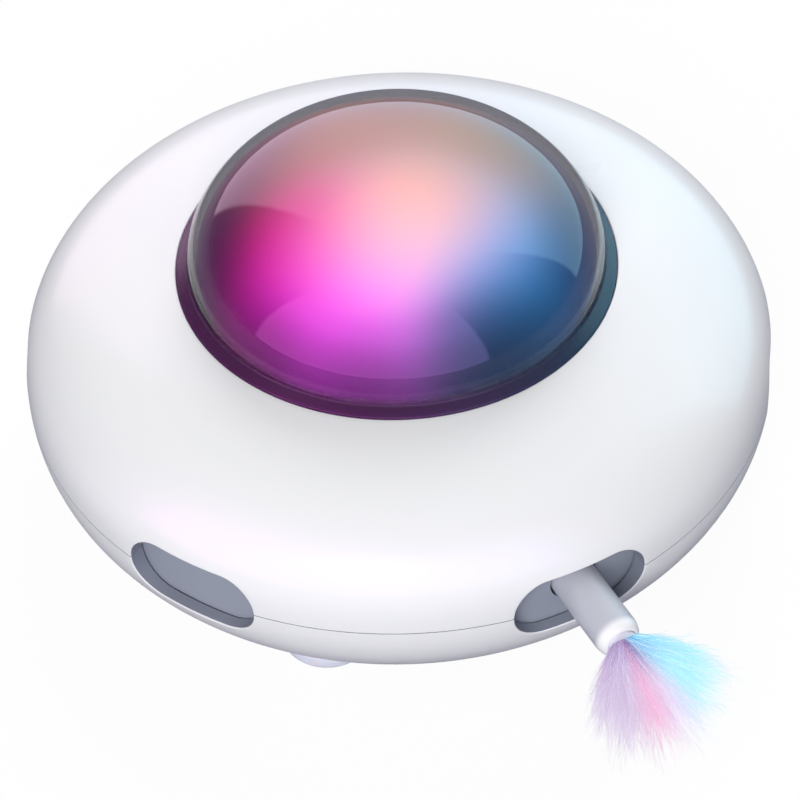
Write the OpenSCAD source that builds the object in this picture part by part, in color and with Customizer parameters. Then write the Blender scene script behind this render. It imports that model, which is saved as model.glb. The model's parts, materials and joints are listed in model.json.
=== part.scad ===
// Automatic feather toy for cats: a round two-part housing with a lit dome and six side slots.
// Inside, a turntable carries a motor-driven arm that slides out through a slot with a feather.
// Millimetres. The origin is the centre of the flat underside, +Z is up, the arm points along -Y.

/* [Housing] */
// Radius of the housing at its widest
body_r = 82.5; // [80:0.5:88]
// Thickness of both shells
wall = 2.4; // [2:0.1:3]
// Height of the parting line between the two shells above the underside
seam_z = 24.5; // [24:0.1:26]
// Height of the widest circle above the parting line
widest_rise = 0.75; // [0.3:0.05:1.5]
// Half height of the full curve that the lower shell follows
lower_half = 40.1; // [38:0.1:44]
// Squareness of the lower curve, where 2 is an ellipse
lower_power = 2.24; // [2.1:0.02:2.5]
// Half height of the full curve that the upper shell follows
upper_half = 30; // [28.5:0.1:33]
// Squareness of the upper curve, where 2 is an ellipse
upper_power = 2.6; // [2.4:0.02:2.8]
// Depth of the tongue that centres the upper shell in the lower one
tongue_depth = 2.4; // [1.5:0.1:3.5]
// Gap between plastic parts that are put together and stay there
fit_gap = 0.15; // [0.05:0.01:0.2]
// Radial gap of a shaft or sleeve that runs in a bore
run_gap = 0.05; // [0.02:0.01:0.09]

/* [Slots] */
// Number of slots around the housing
slot_count = 6; // [5:1:6]
// Width of a slot
slot_w = 31; // [28:0.5:34]
// Height of a slot
slot_h = 15.4; // [14.5:0.1:17]
// Depth of a slot's collar from the widest circle inwards
slot_depth = 4.1; // [3.8:0.1:5.5]
// Thickness of the collar around a slot
slot_collar = 1.6; // [1:0.1:2.4]

/* [Dome] */
// Radius of the dome's bulge where it meets its sloping rim
dome_r = 45.4; // [44.6:0.1:46]
// Height of the bulge above the rim
dome_rise = 27.2; // [22:0.1:30]
// Width of the sloping rim around the bulge
rim_w = 2.3; // [2:0.1:3.2]
// Height of the sloping rim
rim_h = 1.4; // [1:0.1:2]
// Thickness of the dome lens
lens_wall = 2; // [1.6:0.1:2.4]
// Depth of the seat that the lens drops into
seat_depth = 2; // [1.6:0.1:2.4]
// Thickness of the black gasket under the lens
gasket_t = 0.4; // [0.3:0.05:0.6]
// Thickness of the white light diffuser inside the dome
diffuser_wall = 1.2; // [1:0.1:1.6]
// Number of lamps around the lamp board
lamp_count = 6; // [4:1:8]

/* [Feet and underside] */
// Radius of a rubber foot
foot_r = 10; // [8:0.5:11]
// Height of a rubber foot
foot_h = 4; // [3.6:0.1:4.6]
// How far the feet stand below the underside
foot_proud = 1.5; // [1.5:0.1:2]
// Distance of the feet inwards from the widest circle
foot_inset = 20.5; // [19:0.5:22]
// Angle of the first foot round the axis from the arm
foot_turn = -42.5; // [-46:0.5:-38]
// Radius of the power button in the underside
button_r = 6; // [5:0.1:7]
// Travel of the power button
button_travel = 0.4; // [0.2:0.05:0.5]

/* [Inner frame] */
// Height of the chassis plate's lower face
chassis_z = 10.8; // [10.8:0.1:11.4]
// Thickness of the chassis plate
chassis_t = 2; // [1.6:0.1:2.4]
// Gap between the turn motor's gearbox and the bore of the collar around it
motor_room = 0.4; // [0.3:0.05:0.8]
// Wall of the collar
collar_wall = 2; // [1.6:0.1:2.4]
// Radius of the hollow post that carries the lamp wires up to the dome
post_r = 5; // [4:0.1:5.5]
// Wall of the hollow post
post_wall = 1.5; // [1:0.1:1.8]

/* [Turntable] */
// Gap between the turntable's skirt and the ends of the slots' collars
skirt_gap = 0.4; // [0.3:0.05:0.8]
// Thickness of the skirt
skirt_wall = 1.8; // [1.4:0.1:2.4]
// Height of the skirt's top edge
skirt_top = 33.6; // [33.2:0.1:33.8]
// Height of the deck's lower face
deck_z = 18.5; // [18.2:0.1:18.8]
// Thickness of the deck
deck_t = 2; // [1.6:0.1:2.2]
// Module of the turntable's gear teeth
turn_module = 0.8; // [0.75:0.05:0.85]
// Teeth of the ring gear inside the turntable's hub
ring_teeth = 50; // [48:1:52]
// Teeth of the pinion that drives the ring gear
turn_teeth = 15; // [14:1:16]

/* [Arm] */
// Radius of the arm's tube
tube_r = 4.9; // [4.5:0.05:5]
// Height of the tube's axis above the parting line
arm_rise = 1.6; // [1:0.1:2]
// How far the tube reaches out past the widest circle
arm_out = 15.7; // [12:0.1:17]
// Distance that the arm draws in
arm_stroke = 20.3; // [16:0.1:21]
// Radius of the bore in the tube
tube_bore_r = 3.15; // [2.8:0.05:3.3]
// Rounding of the tube's tip
tip_round = 1.6; // [0.8:0.1:1.7]
// Module of the arm's gear teeth
arm_module = 0.6; // [0.5:0.05:0.65]
// Teeth of the pinion that drives the arm
arm_teeth = 14; // [13:1:16]

/* [Feather] */
// Length of the ferrule that holds the feather in the tube
ferrule_len = 14; // [10:0.5:18]
// Length of the feather's plume beyond the tip
plume_len = 34; // [30:1:45]
// Thickness of the plume
plume_t = 12; // [9:0.5:15]

/* [Motors and electrics] */
// Width of a gear motor across its wide side
motor_w = 12; // [11:0.5:12]
// Width of a gear motor across its flat side
motor_t = 10; // [9:0.5:10]
// Length of a motor can
motor_len = 15; // [14:0.5:15]
// Length of a motor's gearbox
gearbox_len = 9; // [8:0.5:9.5]
// Radius of a gear motor's output shaft
shaft_r = 1.5; // [1.2:0.1:1.6]
// Length of the battery pouch
battery_len = 50; // [40:1:54]
// Width of the battery pouch
battery_w = 34; // [28:1:36]
// Thickness of the battery pouch
battery_t = 6; // [5:0.2:6.2]
// Thickness of a circuit board
board_t = 1.2; // [1:0.1:1.6]
// Height of the main board's lower face
board_z = 6.2; // [6.2:0.1:6.4]
// Radius of the lamp board
lamp_board_r = 30; // [26:1:34]

/* [Hidden] */
$fn = 96;
curve_steps = 12;
over = 1;

white = [0.95, 0.95, 0.94];
satin = [0.86, 0.87, 0.90];
grey = [0.55, 0.57, 0.62];
steel = [0.72, 0.73, 0.75];
black = [0.06, 0.06, 0.07];

widest_z = seam_z + widest_rise;
rim_r = dome_r + rim_w;
rim_z = upper_z(rim_r);
slot_r = body_r - slot_depth;
cut_r = slot_r - 3;
arm_z = seam_z + arm_rise;

function lower_angle(z, inset) = asin(pow((widest_z - z) / (lower_half - inset), lower_power / 2));
function lower_point(t, inset) = [
    (body_r - inset) * pow(cos(t), 2 / lower_power),
    widest_z - (lower_half - inset) * pow(sin(t), 2 / lower_power)];
function lower_curve(from_z, to_z, inset, steps = curve_steps) = [
    for (i = [0:steps])
        let (a = lower_angle(from_z, inset), b = lower_angle(to_z, inset))
        lower_point(a + (b - a) * i / steps, inset)];
function lower_r(z, inset) = lower_point(lower_angle(z, inset), inset)[0];
function upper_angle(r, inset) = acos(pow(r / (body_r - inset), upper_power / 2));
function upper_point(t, inset) = [
    (body_r - inset) * pow(cos(t), 2 / upper_power),
    widest_z + (upper_half - inset) * pow(sin(t), 2 / upper_power)];
function upper_curve(r, inset) = [
    for (i = [1:curve_steps]) upper_point(upper_angle(r, inset) * i / curve_steps, inset)];
function upper_z(r) = upper_point(upper_angle(r, 0), 0)[1];
function backwards(list) = [for (i = [len(list) - 1:-1:0]) list[i]];

foot_count = 4;
foot_x = body_r - foot_inset;
foot_top = foot_h - foot_proud;
pad_top = foot_top + wall;
boss_r = 3.5;
screw_r = 1.25;
small_screw_r = 1;
small_head = 1;
deck_screw_len = 3.6;
foot_screw_r = 1.5;
head_h = 1.6;
thread_gap = 0.02;
base_edge = 1.5;

tongue_t = 1.2;
tongue_r = lower_r(seam_z, wall) - 0.1;
rebate_r = tongue_r + tongue_t + fit_gap;
rebate_z = seam_z - tongue_depth - fit_gap;
snap_w = 10;
snap_t = 1;
snap_out = 0.8;
snap_r = slot_r;
snap_low = seam_z - 6.5;

seat_z = rim_z - seat_depth;
seat_r = rim_r + fit_gap;
ring_in_r = dome_r - 1.2;
ring_out_r = rim_r + 2.4;
ring_low = seat_z - 3;
tray_t = 2;
tray_low = ring_low - tray_t;
tray_screw_x = (ring_in_r + ring_out_r) / 2;
lamp_post_h = 1.6;
lamp_board_z = ring_low + lamp_post_h;
lamp_x = lamp_board_r - 8;
lamp_s = 5;
lamp_h = 1.6;
lens_gap = 1;
diffuser_r = dome_r - lens_wall - lens_gap;
dome_z = rim_z + rim_h;
dome_steps = 16;

chassis_top = chassis_z + chassis_t;
post_foot = 2.5;
chassis_r = body_r - 8.5;
turn_pitch_r = ring_teeth * turn_module / 2;
turn_pinion_r = turn_teeth * turn_module / 2;
motor_x = turn_pitch_r - turn_pinion_r;
collar_bore_r = norm([motor_x + motor_t / 2, motor_w / 2]) + motor_room;
collar_r = collar_bore_r + collar_wall;
clamp_t = 2;
clamp_hold = 5;
motor_low = wall + 0.5;
gearbox_low = motor_low + motor_len;
gearbox_top = gearbox_low + gearbox_len;
collar_top = gearbox_top;
ring_low_z = gearbox_top + 0.6;
ring_h = 4;
ring_wall = 1.6;
ring_out = turn_pitch_r + turn_module * 1.25 + ring_wall;
hub_wall = 1.8;
hub_r = ring_out + hub_wall;
shoulder_r = hub_r + 2.6;
shoulder_z = 15;
flat_gap = 0.05;
flat_room = 0.3;
thrust_h = 2.15;
hub_low = shoulder_z + thrust_h + flat_gap;
hub_top = ring_low_z + ring_h + 0.5;
backlash = 0.12;

skirt_drop = 2.7;
skirt_r = slot_r - skirt_gap;
skirt_in = skirt_r - skirt_wall;
skirt_low = deck_z - skirt_drop;
deck_top = deck_z + deck_t;

hub_gap = 0.8;
arm_in = hub_r + hub_gap + arm_stroke;
arm_tip = body_r + arm_out;
arm_pitch = PI * arm_module;
rack_w = 4;
tube_room = 0.5;
rail_h = 0.4;
rail_top = arm_z + tube_r + rail_h;
rack_root = rail_top + 1.15;
rack_add = 0.75 * arm_module;
rack_ded = 1.25 * arm_module;
pitch_z = rack_root + rack_ded;
arm_pinion_r = arm_teeth * arm_module / 2;
pinion_z = pitch_z + arm_pinion_r;
rack_tail = 3.3;
pinion_y = arm_in + rack_tail;
rack_teeth = ceil((rack_tail + arm_stroke + 2) / arm_pitch);
rack_len = rack_teeth * arm_pitch;
rack_out = arm_in + rack_len;
guide_in = pinion_y + motor_w / 2 + 0.6;
guide_out = skirt_in - 1.7;
guide_edge = 2.5;
guide_half = 9;
flange_half = 14;
flange_t = 2;
guide_top = pitch_z + rack_add + 2;
rack_shift = floor((rack_out - pinion_y) / arm_pitch - 0.5);
arm_face = 3.4;
arm_motor_z = pinion_z - motor_t / 2;
bracket_in = 8;
bracket_out = arm_face + gearbox_len + motor_len - 1.5;
bracket_tail = 11;
bracket_leg = 3;
bracket_edge = 3;
bracket_t = 2;
shelf_t = 1.6;
strap_t = 1;
strap_w = 6;
switch_h = 7;
switch_len = 6;
switch_w = 4;
switch_gap = 1;
switch_past = 3;
window_x = 57;
window_r = 7;

battery_y = 35;
battery_low = wall + 0.1;
battery_top = battery_low + battery_t;
clip_low = battery_top + 0.3;
clip_t = 1.2;
clip_w = 9;
clip_head = 0.6;
clip_post = 4;
clip_end = 3;
clip_screw_len = 5;
post_outer_r = 2.4;
wire_r = 0.6;
lead_r = 1.1;
lead_bend = 3;
lead_z = board_z + board_t + 1.2;
board_from = 30;
board_to = 61;
board_half = 18;
board_neck = 8;
board_posts = [[-15, 34], [15, 34], [-15, 57], [15, 57]];
socket_y = board_from + 4;
socket_half = 3;
socket_len = 4;
socket_h = 2.4;
chip_y = board_from + 14;
chip_half = 5;
chip_t = 1.4;
small_chip_half = 2;
small_chip_len = 5;
coil_r = 2.5;
coil_h = 2.8;
board_screw_len = 4;
slip_r = [41, 46];
slip_w = 2;
slip_t = 0.5;
usb_size = [9, 7.3, 3.2];
usb_z = board_z + board_t + usb_size[2] / 2;
usb_y = lower_r(usb_z, 0) - 5.5;
board_y = usb_y - 2.9;
ferrule_out = 0.5;
plume_lean = -14;
plume_left = -42;
plume_right = 54;
plume_droop = 3;

button_y = 50;
button_flange = 1.2;
plunger_r = 1.5;
plug_w = 13;
plug_h = 6;
usb_half = plug_w / 2 + 2;
usb_back = usb_y - 2.2;
usb_top = usb_z + plug_h / 2 + 0.9;

module at_angle(a) {
    rotate([0, 0, a]) children();
}

module stadium(w, h) {
    square([w - h, h], center = true);
    for (s = [-1, 1]) translate([s * (w - h) / 2, 0]) circle(d = h);
}

// A slot's outline with its lower half squared off, so that it clears all of the tongue
module arch(w, h, drop) {
    stadium(w, h);
    translate([-w / 2, -drop]) square([w, drop]);
}

// Extrudes an outline outwards at every slot, centred on the parting line
module at_slots(from_r, to_r) {
    for (i = [0:slot_count - 1]) at_angle(i * 360 / slot_count)
        translate([0, -from_r, seam_z]) rotate([90, 0, 0]) linear_extrude(to_r - from_r) children();
}

module body_envelope(inset) {
    rotate_extrude() polygon(concat([[0, inset]], lower_curve(inset, seam_z, inset), [[0, seam_z]]));
}

// The collars stand inwards from the wall and end half way through it
module slot_collars(low, high) {
    intersection() {
        at_slots(slot_r - over, body_r) stadium(slot_w + 2 * slot_collar, slot_h + 2 * slot_collar);
        tube(tongue_r + 0.3, slot_r, low, high);
    }
}

module block(from, to) {
    translate(from) cube(to - from);
}

module tube(r, hole, low, high) {
    translate([0, 0, low]) difference() {
        cylinder(r = r, h = high - low);
        translate([0, 0, -over]) cylinder(r = hole, h = high - low + 2 * over);
    }
}

module bore(r, low, high) {
    translate([0, 0, low]) cylinder(r = r, h = high - low);
}

module screw_up(r, head_z, length, head = head_h) {
    translate([0, 0, head_z - head]) cylinder(r = r * 1.8, h = head);
    translate([0, 0, head_z]) cylinder(r = r, h = length);
}

module screw_down(r, head_z, length, head = head_h) {
    translate([0, 0, head_z]) cylinder(r = r * 1.8, h = head);
    translate([0, 0, head_z - length]) cylinder(r = r, h = length);
}

module at_feet() {
    for (i = [0:foot_count - 1]) at_angle(foot_turn + i * 360 / foot_count)
        translate([0, -foot_x, 0]) children();
}

module at_snaps() {
    for (i = [0:slot_count - 1]) at_angle((i + 0.5) * 360 / slot_count) children();
}

// Half angle of a gear tooth at radius r, from the involute of its base circle
function involute(r, base) = r <= base ? 0 : (tan(acos(base / r)) * 180 / PI - acos(base / r));
function tooth_half(r, teeth, size, thin) =
    let (pitch_r = teeth * size / 2, base = pitch_r * cos(20))
    90 / teeth - thin * 90 / (PI * pitch_r) + involute(pitch_r, base) - involute(r, base);
function gear_outline(teeth, size, low_r, high_r, thin) = [
    for (k = [0:teeth - 1], side = [-1, 1], j = [0:3])
        let (part = side < 0 ? j / 3 : 1 - j / 3)
        let (r = low_r + (high_r - low_r) * part)
        let (a = k * 360 / teeth + side * tooth_half(r, teeth, size, thin))
        r * [cos(a), sin(a)]];

module lower_shell() {
    color(white) difference() {
        union() {
            rotate_extrude() polygon(concat([[0, 0], [lower_r(0, 0) - base_edge, 0]],
                lower_curve(base_edge / 3, seam_z, 0), [[rebate_r, seam_z], [rebate_r, rebate_z]],
                backwards(lower_curve(wall, rebate_z, wall)), [[0, wall]]));
            intersection() {
                body_envelope(wall / 3);
                union() {
                    at_feet() bore(foot_r + wall, wall / 2, pad_top);
                    block([-usb_half, usb_back, wall / 2], [usb_half, body_r, usb_top]);
                }
            }
            slot_collars(0, seam_z);
            board_posts();
            clip_posts();
        }
        at_slots(cut_r, body_r + over) stadium(slot_w, slot_h);
        bore(rebate_r, rebate_z, seam_z + over);
        at_feet() {
            bore(foot_r + fit_gap, -over, foot_top);
            bore(foot_screw_r + fit_gap, 0, pad_top + over);
        }
        translate([0, button_y, 0]) bore(button_r + run_gap, -over, wall + over);
        usb_opening();
        snap_pockets();
    }
}

module board_posts() {
    at_board_screws() tube(post_outer_r, small_screw_r + thread_gap, wall - 0.5, board_z);
}

module at_board_screws() {
    for (place = board_posts) translate([place[0], place[1], 0]) children();
}

module clip_posts() {
    at_clip_screws() tube(post_outer_r, small_screw_r + thread_gap, wall - 0.5, clip_low);
}

module at_clip_screws() {
    for (s = [-1, 1]) translate([0, s * (battery_w / 2 + clip_post) - battery_y, 0]) children();
}

module usb_opening() {
    translate([0, usb_y, usb_z]) rotate([-90, 0, 0]) {
        linear_extrude(20) stadium(plug_w, plug_h);
        translate([0, 0, -10]) linear_extrude(11) square([usb_size[0] + 0.3, usb_size[2] + 0.3], true);
    }
}

module snap_pockets() {
    at_snaps() intersection() {
        tube(snap_r + snap_t + snap_out + 0.3, snap_r, snap_low - 0.3, snap_low + 2.3);
        block([-snap_w / 2 - 0.4, -body_r, 0], [snap_w / 2 + 0.4, 0, seam_z]);
    }
}

module upper_shell() {
    color(white) difference() {
        union() {
            rotate_extrude() polygon(concat(lower_curve(seam_z, widest_z, 0, 1), upper_curve(seat_r, 0),
                [[seat_r, seat_z], [ring_in_r, seat_z], [ring_in_r, ring_low], [ring_out_r, ring_low]],
                backwards(upper_curve(ring_out_r, wall)), backwards(lower_curve(seam_z, widest_z, wall, 1)),
                [[tongue_r, seam_z], [tongue_r, seam_z - tongue_depth],
                    [tongue_r + tongue_t, seam_z - tongue_depth], [tongue_r + tongue_t, seam_z]]));
            slot_collars(seam_z, body_r);
            snap_tabs();
        }
        at_slots(cut_r, body_r + over) arch(slot_w, slot_h, tongue_depth + over);
        at_tray_screws() bore(screw_r + thread_gap, ring_low - over, seat_z - 0.5);
    }
}

module snap_tabs() {
    barb_z = snap_low + 1.2;
    out = snap_r + snap_t;
    at_snaps() intersection() {
        rotate_extrude() polygon([[snap_r, snap_low], [out, snap_low], [out + snap_out, barb_z],
            [out + snap_out, barb_z + 0.6], [out, barb_z + 0.8], [out, seam_z],
            [tongue_r + tongue_t, seam_z], [tongue_r + tongue_t, seam_z + 2.5], [snap_r, seam_z + 2.5]]);
        block([-snap_w / 2, -body_r, 0], [snap_w / 2, 0, body_r]);
    }
}

module at_tray_screws() {
    for (a = [90, 210, 330]) at_angle(a) translate([0, -tray_screw_x, 0]) children();
}

function dome_arc(r, rise, base_z) = [
    for (i = [0:dome_steps]) [r * cos(i * 90 / dome_steps), base_z + rise * sin(i * 90 / dome_steps)]];

module dome_lens() {
    inner_r = dome_r - lens_wall;
    foot_z = seat_z + gasket_t;
    color([0.30, 0.12, 0.34, 0.6]) rotate_extrude() polygon(concat(
        [[inner_r, foot_z], [rim_r, foot_z], [rim_r, rim_z]],
        dome_arc(dome_r, dome_rise, dome_z),
        backwards(dome_arc(inner_r, dome_rise - lens_wall, dome_z))));
}

module dome_gasket() {
    color(black) tube(rim_r, dome_r - lens_wall, seat_z, seat_z + gasket_t);
}

module dome_diffuser() {
    rise = dome_rise - lens_wall - lens_gap;
    inner_r = diffuser_r - diffuser_wall;
    color([0.93, 0.80, 0.90]) rotate_extrude() polygon(concat(
        [[inner_r, ring_low], [diffuser_r, ring_low]],
        dome_arc(diffuser_r, rise, dome_z),
        backwards(dome_arc(inner_r, rise - diffuser_wall, dome_z))));
}

module lamp_tray() {
    color(white) difference() {
        union() {
            bore(ring_out_r, tray_low, ring_low);
            bore(post_r + 2, tray_low - 3, ring_low);
            at_lamp_posts() bore(2.4, ring_low - 0.5, lamp_board_z);
        }
        bore(post_r + fit_gap, tray_low - 4, tray_low);
        bore(post_r - post_wall, tray_low - over, ring_low + over);
        at_tray_screws() bore(screw_r + fit_gap, tray_low - over, ring_low + over);
    }
}

module at_lamp_posts() {
    for (a = [30, 150, 270]) at_angle(a) translate([0, 4 - lamp_board_r, 0]) children();
}

module lamp_board() {
    color([0.92, 0.93, 0.92])
        tube(lamp_board_r, lead_r + fit_gap, lamp_board_z, lamp_board_z + board_t);
}

module lamps() {
    low = lamp_board_z + board_t;
    color([1, 0.96, 0.85]) for (i = [0:lamp_count - 1]) at_angle(i * 360 / lamp_count)
        block([-lamp_s / 2, -lamp_x - lamp_s / 2, low], [lamp_s / 2, -lamp_x + lamp_s / 2, low + lamp_h]);
}

module tray_screws() {
    color(steel) at_tray_screws() screw_up(screw_r, tray_low, seat_z - tray_low - 1);
}

module centre_post() {
    color(satin) difference() {
        union() {
            bore(post_r, chassis_top, tray_low);
            bore(post_r + post_foot, chassis_top, chassis_top + 2);
        }
        bore(post_r - post_wall, chassis_z, tray_low + over);
    }
}

module chassis() {
    color(satin) difference() {
        union() {
            bore(chassis_r, chassis_z, chassis_top);
            bore(shoulder_r, chassis_z, shoulder_z);
            bore(collar_r, chassis_z, collar_top);
            at_feet() bore(boss_r, pad_top, chassis_top);
        }
        bore(collar_bore_r, chassis_top, collar_top + over);
        bore(post_r - post_wall, chassis_z - over, chassis_top + over);
        motor_prism(fit_gap, chassis_z - over, chassis_top + over);
        block([-usb_half - flat_room, usb_back - flat_room, chassis_z - over],
            [usb_half + flat_room, body_r, chassis_top + over]);
        at_feet() bore(foot_screw_r + thread_gap, pad_top - over, chassis_top - 0.6);
        at_clamp_screws() bore(small_screw_r + thread_gap, chassis_z - over, chassis_top + over);
    }
}

// A gear motor's section is a cylinder with two flats
module motor_prism(gap, low, high) {
    translate([motor_x, 0, low]) linear_extrude(high - low) motor_section(gap);
}

module motor_section(gap) {
    intersection() {
        square([motor_t + 2 * gap, motor_w + 2 * gap], center = true);
        circle(d = motor_w + 2 * gap + 0.6);
    }
}

module chassis_screws() {
    color(steel) at_feet() screw_up(foot_screw_r, foot_top, chassis_top - foot_top - 0.8);
}

module rubber_feet() {
    edge = 1.2;
    head_r = foot_screw_r * 1.8 + 0.4;
    color([0.78, 0.78, 0.84]) at_feet() rotate_extrude() polygon(concat([[0, -foot_proud]],
        [for (i = [0:4]) [foot_r - edge + edge * sin(i * 22.5), edge - foot_proud - edge * cos(i * 22.5)]],
        [[foot_r, foot_top], [head_r, foot_top], [head_r, foot_top - head_h - 0.3],
            [0, foot_top - head_h - 0.3]]));
}

module battery_pouch() {
    side = battery_t / 2;
    color([0.75, 0.77, 0.80]) {
        block([side - battery_len / 2, -battery_y - battery_w / 2, battery_low],
            [battery_len / 2 - side, battery_w / 2 - battery_y, battery_top]);
        for (s = [-1, 1]) translate([s * (battery_len / 2 - side), -battery_y, battery_low + side])
            rotate([90, 0, 0]) cylinder(r = side, h = battery_w, center = true);
    }
}

module battery_clip() {
    color(satin) difference() {
        translate([0, -battery_y, clip_low]) linear_extrude(clip_t) rotate(90)
            stadium(battery_w + 2 * (clip_post + clip_end), clip_w);
        at_clip_screws() bore(small_screw_r + fit_gap, clip_low - over, clip_low + clip_t + over);
    }
}

module clip_screws() {
    color(steel) at_clip_screws() screw_down(small_screw_r, clip_low + clip_t, clip_screw_len, clip_head);
}

// Two short wires from the end of the pouch to the edge of the main board
module battery_lead() {
    for (x = [-7, -4.6]) color(x < -5 ? [0.75, 0.08, 0.08] : black)
        translate([x, battery_w / 2 - battery_y, board_z + board_t / 2]) rotate([-90, 0, 0])
            cylinder(r = wire_r, h = board_from + battery_y - battery_w / 2);
}

// The lamps' lead comes down the hollow post and turns to a socket on the main board
module lamp_lead() {
    color([0.85, 0.85, 0.82]) {
        bore(lead_r, lead_z + lead_bend, lamp_board_z + board_t);
        translate([0, lead_bend, lead_z + lead_bend]) rotate([0, -90, 0]) rotate([0, 0, 180])
            rotate_extrude(angle = 90) translate([lead_bend, 0]) circle(r = lead_r);
        translate([0, lead_bend, lead_z]) rotate([-90, 0, 0])
            cylinder(r = lead_r, h = socket_y - lead_bend);
    }
}

module main_board() {
    color([0.10, 0.36, 0.22]) difference() {
        translate([0, 0, board_z]) linear_extrude(board_t) union() {
            translate([-board_half, board_from]) square([2 * board_half, board_to - board_from]);
            translate([-board_neck, board_to - over]) square([2 * board_neck, board_y - board_to + over]);
        }
        at_board_screws() bore(small_screw_r + fit_gap, board_z - over, board_z + board_t + over);
    }
}

module board_chips() {
    low = board_z + board_t;
    color(black) {
        block([-chip_half, chip_y, low], [chip_half, chip_y + 2 * chip_half, low + chip_t]);
        for (x = [-2, 2] * chip_half) block([x - small_chip_half, chip_y, low],
            [x + small_chip_half, chip_y + small_chip_len, low + chip_t]);
        translate([2 * chip_half, chip_y - 2 * coil_r, low]) cylinder(r = coil_r, h = coil_h);
        block([-socket_half, socket_y, low], [socket_half, socket_y + socket_len, low + socket_h]);
    }
}

module board_screws() {
    color(steel) at_board_screws() screw_down(small_screw_r, board_z + board_t, board_screw_len, small_head);
}

module usb_port() {
    color(steel) difference() {
        translate([0, usb_y - usb_size[1], usb_z]) rotate([-90, 0, 0])
            linear_extrude(usb_size[1]) square([usb_size[0], usb_size[2]], true);
        translate([0, usb_y - usb_size[1] + 1, usb_z]) rotate([-90, 0, 0])
            linear_extrude(usb_size[1]) stadium(usb_size[0] - 0.7, usb_size[2] - 0.7);
    }
}

module switch_body() {
    color(black) difference() {
        block([-3, button_y - 3, board_z - 2], [3, button_y + 3, board_z]);
        translate([0, button_y, 0]) bore(plunger_r + run_gap, board_z - 3, board_z - 0.4);
    }
}

module switch_plunger() {
    color([0.8, 0.75, 0.6]) translate([0, button_y, 0])
        bore(plunger_r, board_z - 2.5, board_z - 0.4 - button_travel - flat_gap);
}

module power_button() {
    low = wall + flat_gap;
    color([0.35, 0.36, 0.40]) translate([0, button_y, 0]) {
        bore(button_r, 0.4, low + button_flange);
        bore(button_r + 1.2, low, low + button_flange - 0.2);
        bore(plunger_r, low + button_flange, board_z - 2.5);
    }
}

module turn_motor() {
    color(steel) motor_prism(0, motor_low, gearbox_low);
}

module turn_gearbox() {
    color([0.80, 0.68, 0.38]) difference() {
        translate([motor_x - motor_t / 2, -motor_w / 2, gearbox_low]) cube([motor_t, motor_w, gearbox_len]);
        translate([motor_x, 0, 0]) bore(shaft_r + run_gap, gearbox_top - 3, gearbox_top + over);
    }
}

module motor_clamp() {
    color(satin) difference() {
        intersection() {
            bore(collar_bore_r - fit_gap, chassis_top, chassis_top + clamp_t);
            block([post_r + post_foot + 0.5, -body_r, 0], [body_r, body_r, body_r]);
        }
        motor_prism(fit_gap, chassis_top - over, chassis_top + clamp_t + over);
        at_clamp_screws()
            bore(small_screw_r + fit_gap, chassis_top - over, chassis_top + clamp_t + over);
    }
}

module at_clamp_screws() {
    for (s = [-1, 1]) translate([motor_x - 1, s * (motor_w / 2 + clamp_hold), 0]) children();
}

module clamp_screws() {
    color(steel) at_clamp_screws() screw_down(small_screw_r, chassis_top + clamp_t, deck_screw_len, small_head);
}

module thrust_ring() {
    color([0.93, 0.92, 0.86]) tube(shoulder_r, collar_r + fit_gap, shoulder_z, shoulder_z + thrust_h);
}

module slip_rings() {
    color([0.80, 0.50, 0.28]) for (r = slip_r)
        tube(r + slip_w / 2, r - slip_w / 2, deck_z - slip_t, deck_z);
}

module brush_holder() {
    color(black) block([slip_r[0] - 3, -8, chassis_top], [slip_r[1] + 3, -2, chassis_top + 2.4]);
}

// Each brush is a bent leaf: a flat foot on its holder, a slope and a contact pad under its ring
module contact_brushes() {
    low = chassis_top + 2.4;
    high = deck_z - slip_t - fit_gap;
    leaf = 0.3;
    color([0.85, 0.65, 0.35]) for (r = slip_r) translate([r - 0.7, 0, 0]) rotate([90, 0, 90])
        linear_extrude(1.4) polygon([[-7, low], [-2, low], [5, high - leaf], [8, high - leaf],
            [8, high], [5, high], [-2, low + leaf], [-7, low + leaf]]);
}

module turntable() {
    color(grey) difference() {
        union() {
            tube(skirt_r, skirt_in, skirt_low, skirt_top);
            tube(skirt_in + 0.5, hub_r - 0.5, deck_z, deck_top);
            tube(hub_r, collar_r + run_gap, hub_low, ring_low_z);
            tube(hub_r, ring_out + thread_gap, ring_low_z, hub_top);
            tube(shoulder_r, collar_r + run_gap, hub_low, deck_z + 0.5);
        }
        along_arm(skirt_in - 2) cylinder(r = tube_r + tube_room, h = skirt_wall + 4);
        block([-rack_w / 2 - tube_room, -skirt_r - over, arm_z],
            [rack_w / 2 + tube_room, over - skirt_in, pitch_z + rack_add + tube_room]);
        at_guide_screws() bore(small_screw_r + thread_gap, deck_z - over, deck_top + over);
        at_bracket_screws() bore(small_screw_r + thread_gap, deck_z - over, deck_top + over);
        for (a = [60:60:300]) at_angle(a)
            translate([0, -window_x, 0]) bore(window_r, deck_z - over, deck_top + over);
    }
}

module ring_gear() {
    color([0.93, 0.92, 0.86]) translate([0, 0, ring_low_z]) linear_extrude(ring_h) difference() {
        circle(r = ring_out);
        polygon(gear_outline(ring_teeth, turn_module, turn_pitch_r - 0.75 * turn_module,
            turn_pitch_r + 1.25 * turn_module, -backlash));
    }
}

module turn_pinion() {
    color([0.85, 0.83, 0.75]) translate([motor_x, 0, ring_low_z + 0.2]) linear_extrude(ring_h - 0.4)
        difference() {
            polygon(gear_outline(turn_teeth, turn_module, turn_pinion_r - 1.25 * turn_module,
                turn_pinion_r + turn_module, backlash));
            circle(r = shaft_r);
        }
}

module turn_shaft() {
    color(steel) translate([motor_x, 0, 0]) bore(shaft_r, gearbox_top - 2.9, ring_low_z + ring_h + 0.2);
}

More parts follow.
